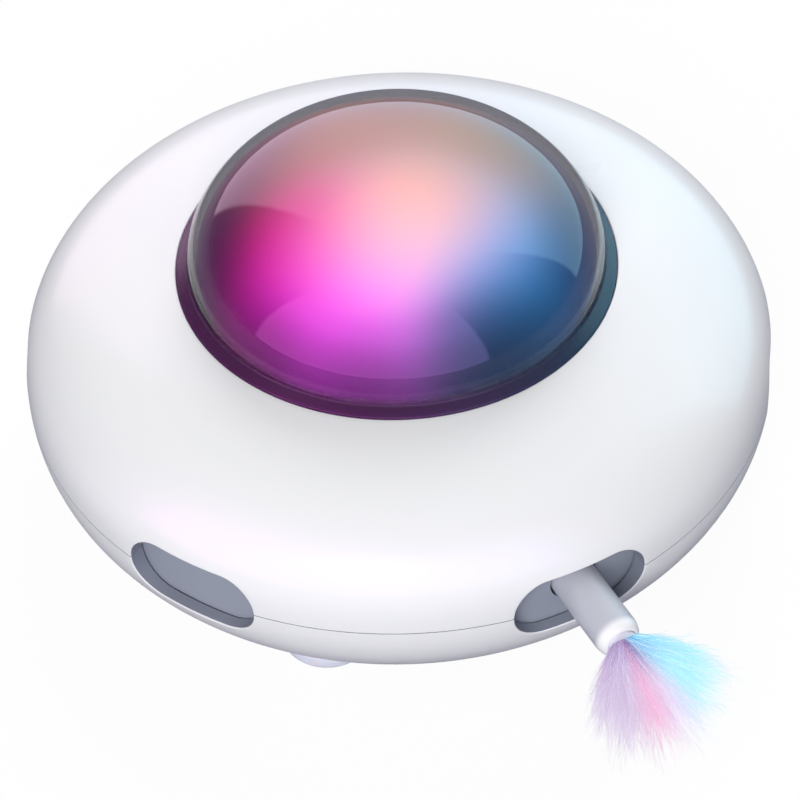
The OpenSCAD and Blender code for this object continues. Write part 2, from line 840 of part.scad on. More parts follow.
module at_guide_screws() {
    for (s = [-1, 1], y = [guide_in + guide_edge, guide_out - guide_edge])
        translate([s * (guide_half + flange_half) / 2, -y, 0]) children();
}

module arm_guide() {
    color(satin) difference() {
        union() {
            block([-guide_half, -guide_out, deck_top], [guide_half, -guide_in, guide_top]);
            block([-flange_half, -guide_out, deck_top], [flange_half, -guide_in, deck_top + flange_t]);
        }
        along_arm(guide_in - over) cylinder(r = tube_r + run_gap, h = guide_out - guide_in + 2 * over);
        block([-rack_w / 2 - fit_gap, -guide_out - over, arm_z],
            [rack_w / 2 + fit_gap, over - guide_in, pitch_z + rack_add + 0.3]);
        at_guide_screws() bore(small_screw_r + fit_gap, deck_top - over, deck_top + flange_t + over);
    }
}

module guide_screws() {
    color(steel) at_guide_screws() screw_down(small_screw_r, deck_top + flange_t, deck_screw_len, small_head);
}

module lying_motor(from, length, gap) {
    translate([from, -pinion_y, pinion_z]) rotate([0, 90, 0]) linear_extrude(length) motor_section(gap);
}

module arm_motor() {
    color(steel) lying_motor(arm_face + gearbox_len, motor_len, 0);
}

module arm_gearbox() {
    color([0.80, 0.68, 0.38]) difference() {
        translate([arm_face, -pinion_y - motor_w / 2, arm_motor_z]) cube([gearbox_len, motor_w, motor_t]);
        translate([0, -pinion_y, pinion_z]) rotate([0, 90, 0])
            cylinder(r = shaft_r + run_gap, h = arm_face + 3);
    }
}

module at_bracket_screws() {
    for (x = [bracket_in + bracket_edge, bracket_out - bracket_edge])
        translate([x, bracket_tail - bracket_edge - pinion_y, 0]) children();
}

module arm_bracket() {
    half = motor_w / 2;
    color(satin) difference() {
        union() {
            block([bracket_in, -pinion_y - half, deck_top],
                [bracket_out, bracket_tail - pinion_y, deck_top + bracket_t]);
            for (x = [bracket_in, bracket_out - bracket_leg])
                block([x, -pinion_y - half, deck_top], [x + bracket_leg, half - pinion_y, arm_motor_z]);
            block([bracket_in, -pinion_y - half, arm_motor_z - shelf_t],
                [bracket_out, half - pinion_y, arm_motor_z]);
        }
        at_bracket_screws() bore(small_screw_r + fit_gap, deck_top - over, deck_top + bracket_t + over);
    }
}

// A sheet strap holds the lying motor down on its bracket
module arm_strap() {
    half = motor_w / 2 + 0.1;
    top = arm_motor_z + motor_t + 0.1;
    from = arm_face + gearbox_len + 3;
    color(steel) difference() {
        block([from, -pinion_y - half - strap_t, arm_motor_z - 4],
            [from + strap_w, half + strap_t - pinion_y, top + strap_t]);
        block([from - over, -pinion_y - half, arm_motor_z - 5],
            [from + strap_w + over, half - pinion_y, top]);
    }
}

module bracket_screws() {
    color(steel) at_bracket_screws() screw_down(small_screw_r, deck_top + bracket_t, deck_screw_len, small_head);
}

module end_switches() {
    side = -guide_half - switch_gap;
    color(black) for (y = [arm_in - arm_stroke + switch_past, arm_in + switch_past])
        block([side - switch_w, -y - switch_len, deck_top], [side, -y, deck_top + switch_h]);
}

module arm_pinion() {
    color([0.85, 0.83, 0.75]) translate([-rack_w / 2, -pinion_y, pinion_z]) rotate([0, 90, 0])
        linear_extrude(rack_w) difference() {
            polygon(gear_outline(arm_teeth, arm_module, arm_pinion_r - 1.25 * arm_module,
                arm_pinion_r + arm_module, backlash));
            circle(r = shaft_r);
        }
}

module arm_shaft() {
    color(steel) translate([-rack_w / 2 - 0.5, -pinion_y, pinion_z]) rotate([0, 90, 0])
        cylinder(r = shaft_r, h = rack_w / 2 + 0.5 + arm_face + 2.9);
}

// The tube has a rail for the rack on top, a plug in its inner end and a flag for the end switches
module arm_tube() {
    plug = 2;
    flag_half = 1.5;
    color(satin) union() {
        along_arm(arm_in) rotate_extrude() polygon(concat([[tube_bore_r, 0], [tube_r, 0]],
            [for (i = [0:6]) [tube_r - tip_round + tip_round * cos(i * 15),
                arm_tip - arm_in - tip_round + tip_round * sin(i * 15)]],
            [[tube_bore_r, arm_tip - arm_in]]));
        difference() {
            block([-rack_w / 2, -rack_out, arm_z + tube_r - 1.2], [rack_w / 2, -arm_in, rail_top]);
            along_arm(arm_in - over) cylinder(r = tube_bore_r, h = body_r);
        }
        along_arm(arm_in) cylinder(r = tube_bore_r + 0.2, h = plug);
        block([0.6 - guide_half, -arm_in - 3, arm_z - flag_half],
            [0.6 - tube_r, -arm_in - 1, arm_z + flag_half]);
    }
}

// Turns an upright shape to point outwards along the arm, starting at radius r
module along_arm(r) {
    translate([0, -r, arm_z]) rotate([90, 0, 0]) children();
}

module arm_rack() {
    slope = tan(20);
    half = arm_pitch / 4 - backlash / 2;
    color([0.93, 0.92, 0.86]) translate([-rack_w / 2, 0, 0]) rotate([90, 0, 90]) linear_extrude(rack_w)
        polygon(concat([[-rack_out, rail_top]], [for (k = [0:rack_teeth - 1], p = [0:3])
            let (y = -pinion_y - arm_pitch / 2 + (k - rack_shift) * arm_pitch)
            let (z = p == 0 || p == 3 ? rack_root : pitch_z + rack_add)
            let (side = p < 2 ? -1 : 1)
            [y + side * (half - (z - pitch_z) * slope), z]], [[-arm_in, rail_top]]));
}

module feather_ferrule() {
    color([0.9, 0.9, 0.95]) along_arm(arm_tip - ferrule_len)
        cylinder(r = tube_bore_r - run_gap, h = ferrule_len + ferrule_out);
}

// How far the barbs reach at angle a round the root, longest where the plume leans
function barb_reach(a) = plume_len * cos((a - plume_lean) * (a > plume_lean ? 0.8 : 1.45));

// The plume is a soft fan from a narrow root, and droops towards its ends
module feather_plume() {
    root_r = 2.4;
    ball = plume_t / 2;
    root_y = arm_tip + ferrule_out;
    color([0.75, 0.80, 0.98]) hull() {
        along_arm(root_y) cylinder(r = root_r, h = 1, $fn = 24);
        for (a = [plume_left:16:plume_right])
            let (d = barb_reach(a) - ball)
            translate([d * sin(a), -root_y - d * cos(a), arm_z - plume_droop * pow(d / plume_len, 2)])
                sphere(r = ball, $fn = 24);
    }
}

lower_shell();
upper_shell();
dome_lens();
dome_gasket();
dome_diffuser();
lamp_tray();
lamp_board();
lamps();
tray_screws();
centre_post();
chassis();
chassis_screws();
rubber_feet();
battery_pouch();
battery_clip();
clip_screws();
battery_lead();
lamp_lead();
main_board();
board_chips();
board_screws();
usb_port();
switch_body();
switch_plunger();
power_button();
turn_motor();
turn_gearbox();
motor_clamp();
clamp_screws();
thrust_ring();
brush_holder();
contact_brushes();
turntable();
ring_gear();
slip_rings();
turn_pinion();
turn_shaft();
arm_guide();
guide_screws();
arm_motor();
arm_gearbox();
arm_bracket();
arm_strap();
bracket_screws();
end_switches();
arm_pinion();
arm_shaft();
arm_tube();
arm_rack();
feather_ferrule();
feather_plume();
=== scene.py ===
# %% [markdown]
# # An automatic feather toy for cats
# The toy is a low, round housing of two white shells with six long slots in its side and a lit,
# smoky dome on top. A tube comes out of one slot with a downy feather in its tip. The solids of
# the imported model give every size. This script dresses them: it loads the model as a fixed frame,
# makes smooth surfaces for what the eye sees, and gives each piece its finish.

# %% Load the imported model
import json
import math

import bmesh
import bpy
import numpy as np
from mathutils import Matrix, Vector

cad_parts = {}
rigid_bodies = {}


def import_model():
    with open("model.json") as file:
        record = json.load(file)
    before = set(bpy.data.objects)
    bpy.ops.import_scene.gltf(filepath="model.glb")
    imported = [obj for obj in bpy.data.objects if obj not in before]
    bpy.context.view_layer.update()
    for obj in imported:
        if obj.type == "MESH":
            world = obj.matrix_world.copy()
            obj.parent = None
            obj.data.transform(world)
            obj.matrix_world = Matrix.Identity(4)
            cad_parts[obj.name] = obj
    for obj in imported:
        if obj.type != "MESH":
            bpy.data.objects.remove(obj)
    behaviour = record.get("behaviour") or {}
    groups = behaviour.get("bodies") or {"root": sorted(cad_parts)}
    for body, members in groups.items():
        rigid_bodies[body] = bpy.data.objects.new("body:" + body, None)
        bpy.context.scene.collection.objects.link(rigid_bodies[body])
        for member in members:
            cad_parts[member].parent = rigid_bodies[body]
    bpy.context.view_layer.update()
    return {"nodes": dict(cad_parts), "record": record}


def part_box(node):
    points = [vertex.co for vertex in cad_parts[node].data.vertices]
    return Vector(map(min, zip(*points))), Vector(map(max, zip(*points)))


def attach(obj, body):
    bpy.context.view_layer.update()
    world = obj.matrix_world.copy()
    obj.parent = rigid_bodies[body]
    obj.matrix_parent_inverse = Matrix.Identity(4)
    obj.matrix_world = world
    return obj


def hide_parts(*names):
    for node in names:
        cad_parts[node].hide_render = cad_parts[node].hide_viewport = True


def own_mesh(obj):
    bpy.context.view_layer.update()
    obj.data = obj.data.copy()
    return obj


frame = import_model()
for spare in [o for o in bpy.data.objects if o.name in ("Cube", "Light", "Camera")]:
    bpy.data.objects.remove(spare)

# %% [markdown]
# ## The camera
# A long lens from far away keeps the circles of a round product calm. The camera looks 45 degrees
# down from the front left of the arm. Its place is worked out from turn, elevation and roll,
# because these three angles are what can be read off the outlines in a photograph.

# %% Camera at the photograph's angle
TURN = math.radians(26.3)
ELEVATION = math.radians(45.46)
ROLL = math.radians(1.86)
DISTANCE = 0.77699
AIM_OFFSET = (0.000221, 0.010716)
SEAM_Z = 24.5
MM = 0.001


def placed(name, data, columns=None):
    """An object with this data, put in the scene. The columns are its three axes and its place."""
    piece = bpy.data.objects.new(name, data)
    bpy.context.scene.collection.objects.link(piece)
    if columns:
        matrix = np.eye(4)
        matrix[:3, :] = np.stack(columns, axis=1)
        piece.matrix_world = Matrix(matrix.tolist())
    return piece


right = np.array([math.cos(TURN), -math.sin(TURN), 0])
forward = np.array([math.sin(TURN), math.cos(TURN), 0])
up = forward * math.sin(ELEVATION) + np.array([0, 0, math.cos(ELEVATION)])
back = -forward * math.cos(ELEVATION) + np.array([0, 0, math.sin(ELEVATION)])
place = DISTANCE * back - AIM_OFFSET[0] * right - AIM_OFFSET[1] * up
place = place + np.array([0, 0, SEAM_Z * MM])
camera_x = math.cos(ROLL) * right - math.sin(ROLL) * up
camera_y = math.sin(ROLL) * right + math.cos(ROLL) * up

camera_data = bpy.data.cameras.new("studio_camera")
camera_data.lens = 157.5
camera_data.sensor_width = 36
camera_data.clip_start = 0.01
camera = placed("studio_camera", camera_data, [camera_x, camera_y, back, place])
bpy.context.scene.camera = camera
print("camera stands at", np.round(place, 3))

# %% [markdown]
# ## From formulas to meshes
# Each piece is a set of sheets: arrays of rows by columns of points, worked out with numpy in
# millimetres. One helper joins coordinates to points, with one number where it is the same for
# all. Another turns the sheets into one closed mesh. Flat faces with many sides close
# what is plane, such as the joint between the shells.

# %% Helpers that every piece uses
STEP = 1.5
FULL_TURN = 360.0


def joined(*coordinates):
    """Points with these coordinates. A single number holds for every point."""
    return np.stack(np.broadcast_arrays(*coordinates), axis=-1)


def make_piece(name, sheets, caps=(), crease=32):
    """Joins sheets (rows x columns x 3, millimetres) and flat caps (loops of points) into one mesh.
    Doubled points are merged, normals turned outwards, and edges over crease degrees stay sharp."""
    points, faces, count = [], [], 0
    for sheet in sheets:
        rows, columns = sheet.shape[:2]
        corner = count + np.arange(rows - 1)[:, None] * columns + np.arange(columns - 1)
        quads = np.stack([corner, corner + 1, corner + columns + 1, corner + columns], axis=-1)
        faces += quads.reshape(-1, 4).tolist()
        points.append(sheet.reshape(-1, 3))
        count += rows * columns
    for cap in caps:
        faces.append(list(range(count, count + len(cap))))
        points.append(cap)
        count += len(cap)
    mesh = bpy.data.meshes.new(name)
    mesh.from_pydata((np.concatenate(points) * MM).tolist(), [], faces)
    clean = bmesh.new()
    clean.from_mesh(mesh)
    bmesh.ops.remove_doubles(clean, verts=clean.verts, dist=2e-6)
    bmesh.ops.recalc_face_normals(clean, faces=clean.faces)
    clean.to_mesh(mesh)
    open_edges = sum(len(edge.link_faces) == 1 for edge in clean.edges)
    clean.free()
    mesh.polygons.foreach_set("use_smooth", np.ones(len(mesh.polygons), bool))
    mesh.set_sharp_from_angle(angle=math.radians(crease))
    print(name, len(mesh.polygons), "faces,", open_edges, "open edges")
    return placed(name, mesh)


new_pieces = []


def stand_in(piece, body, slot, *nodes):
    """The piece rides on its body, takes its finish from the slot and stands for the nodes."""
    new_pieces.append((piece, slot))
    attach(piece, body)
    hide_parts(*nodes)


def turned(points, degrees):
    """Points turned about the vertical axis."""
    a = math.radians(degrees)
    x, y, z = np.moveaxis(points, -1, 0)
    return joined(x * math.cos(a) - y * math.sin(a), x * math.sin(a) + y * math.cos(a), z)


def lathe(profile, start=0.0, stop=FULL_TURN, step=STEP):
    """A profile of (radius, height) points carried round the axis: (r sin a, -r cos a, h)."""
    a = np.radians(np.arange(start, stop + step / 2, step))
    radius, height = np.asarray(profile, float).T[..., None]
    return joined(radius * np.sin(a), -radius * np.cos(a), height)


def rounded(corners, radii, steps=5):
    """A line through corners whose corner k is an arc of radius radii[k]. The arc starts
    radius / tan(half the corner's angle) away from the corner on both of its sides."""
    corners = np.asarray(corners, float)
    line = [corners[:1]]
    for before, corner, after, radius in zip(corners, corners[1:], corners[2:], radii):
        one = (before - corner) / np.linalg.norm(before - corner)
        two = (after - corner) / np.linalg.norm(after - corner)
        half = math.acos(np.clip(one @ two, -1, 1)) / 2
        middle = corner + (one + two) / np.linalg.norm(one + two) * radius / math.sin(half)
        first = corner + one * radius / math.tan(half) - middle
        last = corner + two * radius / math.tan(half) - middle
        sweep = math.pi - 2 * half
        share = np.linspace(0, 1, steps)[:, None]
        arc = (np.sin((1 - share) * sweep) * first + np.sin(share * sweep) * last) / math.sin(sweep)
        line.append(middle + arc)
    return np.concatenate(line + [corners[-1:]])

# %% [markdown]
# ## The curve of the housing
# In section the housing is a squared ellipse, one for each half, which is what makes it look
# like a pebble and not like a lens. The same formula, a wall thickness further in, is the inner
# face, so the shells have real walls where the slots cut through them.

# %% The housing's outer and inner face
WIDEST_R = 82.5
WIDEST_Z = 25.25
WALL = 2.4
UPPER_POWER, LOWER_POWER = 2.6, 2.24
UPPER_REACH, LOWER_REACH = 30.0, 40.1
CORNER_SOFT = 0.9


def shell_radius(z, inset=0.0):
    """Radius of the housing at height z: (r / a)^p + (h / b)^p = 1, where h is the distance from
    the widest circle, and p and b have one value above that circle and one below it."""
    above = z >= WIDEST_Z
    power = np.where(above, UPPER_POWER, LOWER_POWER)
    reach = np.where(above, UPPER_REACH, LOWER_REACH) - inset
    share = np.clip(np.abs(z - WIDEST_Z) / reach, 0, 1)
    return (WIDEST_R - inset) * (1 - share ** power) ** (1 / power)


def base_height(r, inset=0.0):
    """Height of the underside at radius r: the same curve, solved for h, above the flat floor at
    the height inset. Where they cross, a parabola rounds the corner over a height of CORNER_SOFT."""
    share = np.clip(r / (WIDEST_R - inset), 0, 1)
    drop = (LOWER_REACH - inset) * (1 - share ** LOWER_POWER) ** (1 / LOWER_POWER)
    over = WIDEST_Z - drop - inset
    parabola = (over + CORNER_SOFT) ** 2 / (4 * CORNER_SOFT)
    return inset + np.where(np.abs(over) < CORNER_SOFT, parabola, np.maximum(over, 0))


def on_side(xz, inset=0.0, sink=0.0):
    """Points (x, z) as seen from the front, put on the housing's side, sink deep into it."""
    x, z = np.moveaxis(xz, -1, 0)
    return joined(x, -np.sqrt(shell_radius(z, inset) ** 2 - x ** 2) + sink, z)


def on_base(xy, inset=0.0):
    """Points (x, y) as seen from below, put on the housing's underside."""
    x, y = np.moveaxis(xy, -1, 0)
    return joined(x, y, base_height(np.hypot(x, y), inset))


print("radius at the seam", round(float(shell_radius(np.array(SEAM_Z))), 2))

# %% [markdown]
# ## Holes with clean edges
# A cut with a Boolean leaves slivers that spoil the shine of a smooth shell. Here every hole sits
# in a patch of its own instead: rings of points run from the patch's edge to the hole's edge along
# rays from the hole's middle, so the mesh flows round the hole as a modeller would lay it out.

# %% Rings round a hole
def hole_reach(direction, straight, radius):
    """Distance from the middle of a stadium to its edge: radius / |v| along the flat sides, and
    s |u| + sqrt(radius^2 - s^2 v^2) on the round ends, whose centres are s from the middle."""
    across, along = np.abs(direction[:, 0]), np.abs(direction[:, 1])
    flat = radius / np.maximum(along, 1e-9)
    end = straight * across + np.sqrt(np.maximum(radius ** 2 - (straight * along) ** 2, 0))
    return np.where(flat * across <= straight, flat, end)


def hole_rings(edge, middle, straight, radius, shares):
    """Rings from the patch's edge (share 0) to the hole (share 1), along rays from the middle."""
    ray = edge - middle
    far = np.linalg.norm(ray, axis=1)
    direction = ray / far[:, None]
    reach = far + (hole_reach(direction, straight, radius) - far) * np.asarray(shares)[:, None]
    return middle + direction * reach[..., None]


def hole_edge(edge, middle, straight, radius):
    """The hole's own edge, on the same rays."""
    return hole_rings(edge, middle, straight, radius, [1.0])[0]


def soft_edges(edge, middle, straight, radius, soft, steps):
    """Rings round a hole's softened edge, each with its depth: a quarter arc of radius soft."""
    for a in np.radians(np.linspace(0, 90, steps + 1)[1:]):
        ring = hole_edge(edge, middle, straight, radius + soft * (1 - math.sin(a)))
        yield ring, soft * (1 - math.cos(a))


def band_edge(half, r, z):
    """Closed edge of a patch in a round band of radii r at heights z, half degrees to each side."""
    a = np.radians(np.arange(-half, half + 0.1, STEP))
    low = joined(r[0] * np.sin(a), z[0])
    high = joined(r[-1] * np.sin(a), z[-1])
    flank = joined(r * math.sin(a[-1]), z)
    return np.concatenate([low, flank[1:], high[::-1][1:], (flank * [-1, 1])[::-1][1:]])

# %% [markdown]
# ## The six slots
# The joint between the shells runs through the middle of the slots, so each shell holds half of
# every slot. A patch covers a sixth of the shell. Its rings go over the outer face, round the
# softened edge, in along the slot's wall, round the collar behind it and back along the inner
# face. Its two ends lie in the plane of the joint, where one flat face per post closes the wall.

# %% A patch with half a slot
SLOT_HALF = 7.8
SLOT_R = 7.75
COLLAR = 1.6
SLOT_IN_R = 78.4
EDGE_R = 0.3
JOINT_GAP = 0.2
LOWER_FAR_Z, UPPER_FAR_Z = 13.2, 38.0
SIDE_STEPS = 9


def patch_edge(joint_z, far_z, inset):
    """Edge of a patch: up one side at -30 degrees, across at far_z, and down the other side."""
    z = np.linspace(joint_z, far_z, SIDE_STEPS)
    side = joined(shell_radius(z, inset) * math.sin(math.radians(30)), z)
    a = np.radians(np.arange(-30 + STEP, 29, STEP))
    across = joined(shell_radius(np.array(far_z), inset) * np.sin(a), far_z)
    return np.concatenate([side * [-1, 1], across, side[::-1]])


def slot_patch(joint_z, far_z):
    """All rings of one half slot: outer face, soft edge, wall, collar, inner face."""
    middle = np.array([0, joint_z])
    outer = patch_edge(joint_z, far_z, 0)
    inner = patch_edge(joint_z, far_z, WALL)
    shares = np.linspace(0, 1, 13) ** 0.85
    rings = [on_side(hole_rings(outer, middle, SLOT_HALF, SLOT_R + EDGE_R, shares))]
    for ring, depth in soft_edges(outer, middle, SLOT_HALF, SLOT_R, EDGE_R, 5):
        rings.append(on_side(ring, 0, depth)[None])
    for grow in (0.0, COLLAR):
        x, z = hole_edge(outer, middle, SLOT_HALF, SLOT_R + grow).T
        rings.append(joined(x, -np.sqrt(SLOT_IN_R ** 2 - x ** 2), z)[None])
    shares = np.linspace(1, 0, 6)
    rings.append(on_side(hole_rings(inner, middle, SLOT_HALF, SLOT_R + COLLAR, shares), WALL))
    return np.concatenate(rings)


def painted_shade_on_slot_walls(piece):
    """Painted shade for the slot walls: the second finish goes to the band's faces under its outer
    skin.
    """
    mesh = piece.data
    centre = np.empty(len(mesh.polygons) * 3)
    mesh.polygons.foreach_get("center", centre)
    x, y, z = centre.reshape(-1, 3).T / MM
    sunk = shell_radius(z) - np.hypot(x, y)
    inside = (sunk > EDGE_R) & (z > LOWER_FAR_Z) & (z < UPPER_FAR_Z)
    mesh.polygons.foreach_set("material_index", inside.astype(np.int32))
    print(piece.name, int(inside.sum()), "faces of the walls are grey")


def slotted_band(joint_z, far_z):
    """Six patches round the axis, and the flat faces of the six posts between their slots."""
    patch = slot_patch(joint_z, far_z)
    sheets = [turned(patch, 60 * k) for k in range(6)]
    posts = []
    for k in range(6):
        one, other = sheets[k][:, -1], sheets[(k + 1) % 6][:, 0]
        posts.append(np.concatenate([one, other[-2:0:-1]]))
    return sheets, posts

# %% [markdown]
# ## The upper shell
# Above the slots the shell is plain lathe work: the outer curve up to the dome's seat, the seat
# itself with a softened lip, the ring under it and the inner curve back down.

# %% Upper shell
SEAT_R = 47.85
SEAT_Z = 50.236
SEAT_IN_R = 44.2
RING_LOW = 47.236
RING_OUT_R = 50.1


def upper_curve(low_z, end_r, inset, steps):
    """The upper squared ellipse from a height to a radius, in even steps of its angle t:
    r = a cos(t)^(2/p), z = widest + b sin(t)^(2/p)."""
    a, b, power = WIDEST_R - inset, UPPER_REACH - inset, UPPER_POWER
    first = math.asin(((low_z - WIDEST_Z) / b) ** (power / 2))
    last = math.acos((end_r / a) ** (power / 2))
    t = np.linspace(first, last, steps)
    return joined(a * np.cos(t) ** (2 / power), WIDEST_Z + b * np.sin(t) ** (2 / power))


sheets, posts = slotted_band(SEAM_Z + JOINT_GAP / 2, UPPER_FAR_Z)
outside = upper_curve(UPPER_FAR_Z, SEAT_R, 0, 40)
inside = upper_curve(UPPER_FAR_Z, RING_OUT_R, WALL, 14)[::-1]
seat = rounded([outside[-2], outside[-1], (SEAT_R, SEAT_Z), (SEAT_IN_R, SEAT_Z),
                (SEAT_IN_R, RING_LOW), (RING_OUT_R, RING_LOW), inside[0]],
               [0.3, 0.15, 0.3, 0.3, 0.3])
sheets.append(lathe(np.concatenate([outside[:-2], seat, inside[1:]])))
upper_shell = make_piece("upper_shell_skin", sheets, posts)
stand_in(upper_shell, "housing", "white_plastic", "upper_shell")

# %% [markdown]
# ## The lower shell
# The side below the slots is lathe work with one patch at the back for the charging socket. The
# underside is a ring of patches: four round recesses for the rubber feet, which run out of the
# curved edge, and the round hole of the power button. The rest is a flat disc.

# %% Underside, seen as a ring of sectors
RING_IN_R = 46.0
RING_EDGE_R = 73.2
FOOT_AT_R = 62.0
FOOT_ANGLES = [-42.5, 47.5, 137.5, 227.5]
FOOT_SECTOR = 30
FOOT_HOLE_R = 10.15
FOOT_HOLE_Z = 2.5
PAD_R = 12.4
PAD_Z = 4.9
BUTTON_Y = 50.0
BUTTON_HOLE_R = 6.05


def sector_edge(start, stop):
    """Closed edge of a sector of the ring, in steps of STEP degrees and about 3 mm."""
    a = np.radians(np.arange(start, stop + 0.1, STEP))
    low, high = [radius * joined(np.sin(a), -np.cos(a)) for radius in (RING_IN_R, RING_EDGE_R)]
    share = np.linspace(0, 1, 10)[:, None]
    rise = low[-1] + (high[-1] - low[-1]) * share
    fall = high[0] + (low[0] - high[0]) * share
    return np.concatenate([low, rise[1:], high[::-1][1:], fall[1:]])


def clipped(xy, limit):
    """Points further out than the limit come back to it along their own radius."""
    r = np.hypot(xy[..., 0], xy[..., 1])
    return xy * np.minimum(1, limit / r)[..., None]


def curve_meets(height, inset):
    """Radius at which the underside's curve reaches a height."""
    r = np.linspace(RING_IN_R, RING_EDGE_R, 4000)
    return float(np.interp(height, base_height(r, inset), r))


def foot_patch(start, stop, angle, radius, top_z, inset):
    """A sector with a round step in it, from the face to the height top_z, and the step's top."""
    edge = sector_edge(start, stop)
    a = math.radians(angle)
    middle = FOOT_AT_R * np.array([math.sin(a), -math.cos(a)])
    rings = hole_rings(edge, middle, 0, radius, np.linspace(0, 1, 7) ** 0.8)
    rings[-1] = clipped(rings[-1], curve_meets(top_z, inset))
    sheet = on_base(rings, inset)
    top = sheet[-1].copy()
    top[:, 2] = top_z
    return np.concatenate([sheet, top[None]]), top[:-1]


sheets, caps = slotted_band(SEAM_Z - JOINT_GAP / 2, LOWER_FAR_Z)
taken = []
for angle in FOOT_ANGLES:
    start = STEP * round((angle - FOOT_SECTOR / 2) / STEP)
    stop = start + FOOT_SECTOR
    taken.append((start, stop))
    for radius, top_z, inset in ((FOOT_HOLE_R, FOOT_HOLE_Z, 0), (PAD_R, PAD_Z, WALL)):
        sheet, cap = foot_patch(start, stop, angle, radius, top_z, inset)
        sheets.append(sheet)
        caps.append(cap)
print("sectors of the feet", taken)

# %% Button hole, plain sectors and the flat disc
BUTTON_SECTOR = (168.0, 192.0)
BUTTON_SOFT = 0.4
edge = sector_edge(*BUTTON_SECTOR)
middle = np.array([0, BUTTON_Y])
shares = np.linspace(0, 1, 7)
rings = [on_base(hole_rings(edge, middle, 0, BUTTON_HOLE_R + BUTTON_SOFT, shares), 0)]
for ring, depth in soft_edges(edge, middle, 0, BUTTON_HOLE_R, BUTTON_SOFT, 4):
    rings.append(joined(*ring.T, depth)[None])
rings.append(on_base(hole_rings(edge, middle, 0, BUTTON_HOLE_R, shares[::-1]), WALL))
sheets.append(np.concatenate(rings))

taken = sorted([(start % 360, stop % 360) for start, stop in taken] + [BUTTON_SECTOR])
radii = np.linspace(RING_IN_R, RING_EDGE_R, 10)
for (_, start), (stop, _) in zip(taken, taken[1:] + taken[:1]):
    stop = stop + 360 if stop < start else stop
    for inset in (0, WALL):
        sheets.append(lathe(joined(radii, base_height(radii, inset)), start, stop))
for inset in (0, WALL):
    caps.append(lathe([(RING_IN_R, inset)])[0][:-1])
print("plain sectors between", taken)

# %% Side band with the recess of the charging socket
SOCKET_Z = 9.0
PLUG_STRAIGHT = 3.5
PLUG_R = 3.0
SOCKET_Y = 71.94
SOCKET_HALF = (4.7, 1.8)
SOCKET_DEEP = 4.0
BACK_HALF = 9.0
BACK_START, BACK_STOP = 180 - BACK_HALF, 180 + BACK_HALF

for inset in (0, WALL):
    low_z = float(base_height(np.array(RING_EDGE_R), inset))
    z = np.linspace(low_z, LOWER_FAR_Z, 7)
    r = shell_radius(z, inset)
    r[0] = RING_EDGE_R
    sheets.append(lathe(joined(r, z), BACK_STOP - FULL_TURN, BACK_START))
    if inset:
        sheets.append(lathe(joined(r, z), BACK_START, BACK_STOP))
        continue
    edge = band_edge(BACK_HALF, r, z)
    middle = np.array([0, SOCKET_Z])
    rings = [on_side(hole_rings(edge, middle, PLUG_STRAIGHT, PLUG_R + EDGE_R, np.linspace(0, 1, 6)))]
    for ring, depth in soft_edges(edge, middle, PLUG_STRAIGHT, PLUG_R, EDGE_R, 4):
        rings.append(on_side(ring, 0, depth)[None])
    ring = hole_edge(edge, middle, PLUG_STRAIGHT, PLUG_R) - middle
    frame_share = np.max(np.abs(ring) / SOCKET_HALF, axis=1)
    mouth = middle + ring / frame_share[:, None]
    for outline, depth in ((ring + middle, 0), (mouth, 0), (mouth, SOCKET_DEEP)):
        rings.append(joined(outline[:, 0], depth - SOCKET_Y, outline[:, 1])[None])
    sheet = turned(np.concatenate(rings), 180)
    sheets.append(sheet)
    caps.append(sheet[-1][:-1])

lower_shell = make_piece("lower_shell_skin", sheets, caps)
stand_in(lower_shell, "housing", "white_plastic", "lower_shell")

# %% [markdown]
# ## The dome
# The dome is a polished plastic lens with a sloping rim that drops into the seat. Its wall is
# 2 mm thick, so it is turned as a closed section: foot, rim, bulge and the inner face.

# %% Dome lens
DOME_R = 45.4
DOME_FOOT_Z = 53.636
DOME_RISE = 27.2
RIM_R = 47.7
RIM_Z = 52.236
LENS_FOOT_Z = 50.66
LENS_WALL = 2.0


def dome_arc(inset, from_degrees, steps):
    """A quarter ellipse from its foot to its top: r = a cos(t), z = foot + b sin(t)."""
    t = np.radians(np.linspace(from_degrees, 90, steps))
    return joined((DOME_R - inset) * np.cos(t), DOME_FOOT_Z + (DOME_RISE - inset) * np.sin(t))


bulge = dome_arc(0, 3, 56)
hollow = dome_arc(LENS_WALL, 0, 30)[::-1]
foot = rounded([(DOME_R - LENS_WALL, LENS_FOOT_Z), (RIM_R, LENS_FOOT_Z), (RIM_R, RIM_Z),
                (DOME_R, DOME_FOOT_Z), bulge[0]], [0.2, 0.5, 0.5])
dome = make_piece("dome_shell", [lathe(np.concatenate([foot, bulge[1:], hollow, foot[:1]]))])
stand_in(dome, "housing", "dome_plastic", "dome_lens")

# %% [markdown]
# ### The diffuser
# A milky shell sits right under the lens and spreads the light of the lamps. It follows the lens at
# a small gap, so the same arc makes it, with a straight skirt down to the ring that holds it.

# %% Diffuser
DIFFUSER_INSET = 2.2
DIFFUSER_WALL = 1.2

over = dome_arc(DIFFUSER_INSET, 0, 40)
under = dome_arc(DIFFUSER_INSET + DIFFUSER_WALL, 0, 24)[::-1]
skirt = rounded([under[-1], (under[-1][0], RING_LOW), (over[0][0], RING_LOW), over[0]], [0.3, 0.3])
diffuser = make_piece("diffuser_shell", [lathe(np.concatenate([over, under[:-1], skirt]))])
stand_in(diffuser, "housing", "diffuser_plastic", "dome_diffuser")

# %% [markdown]
# ## The drum behind the slots
# The turntable's skirt is the smooth grey wall that shows in the slots. The arm's tube passes
# through a round hole in it, so the hole gets the same kind of patch as the slots.

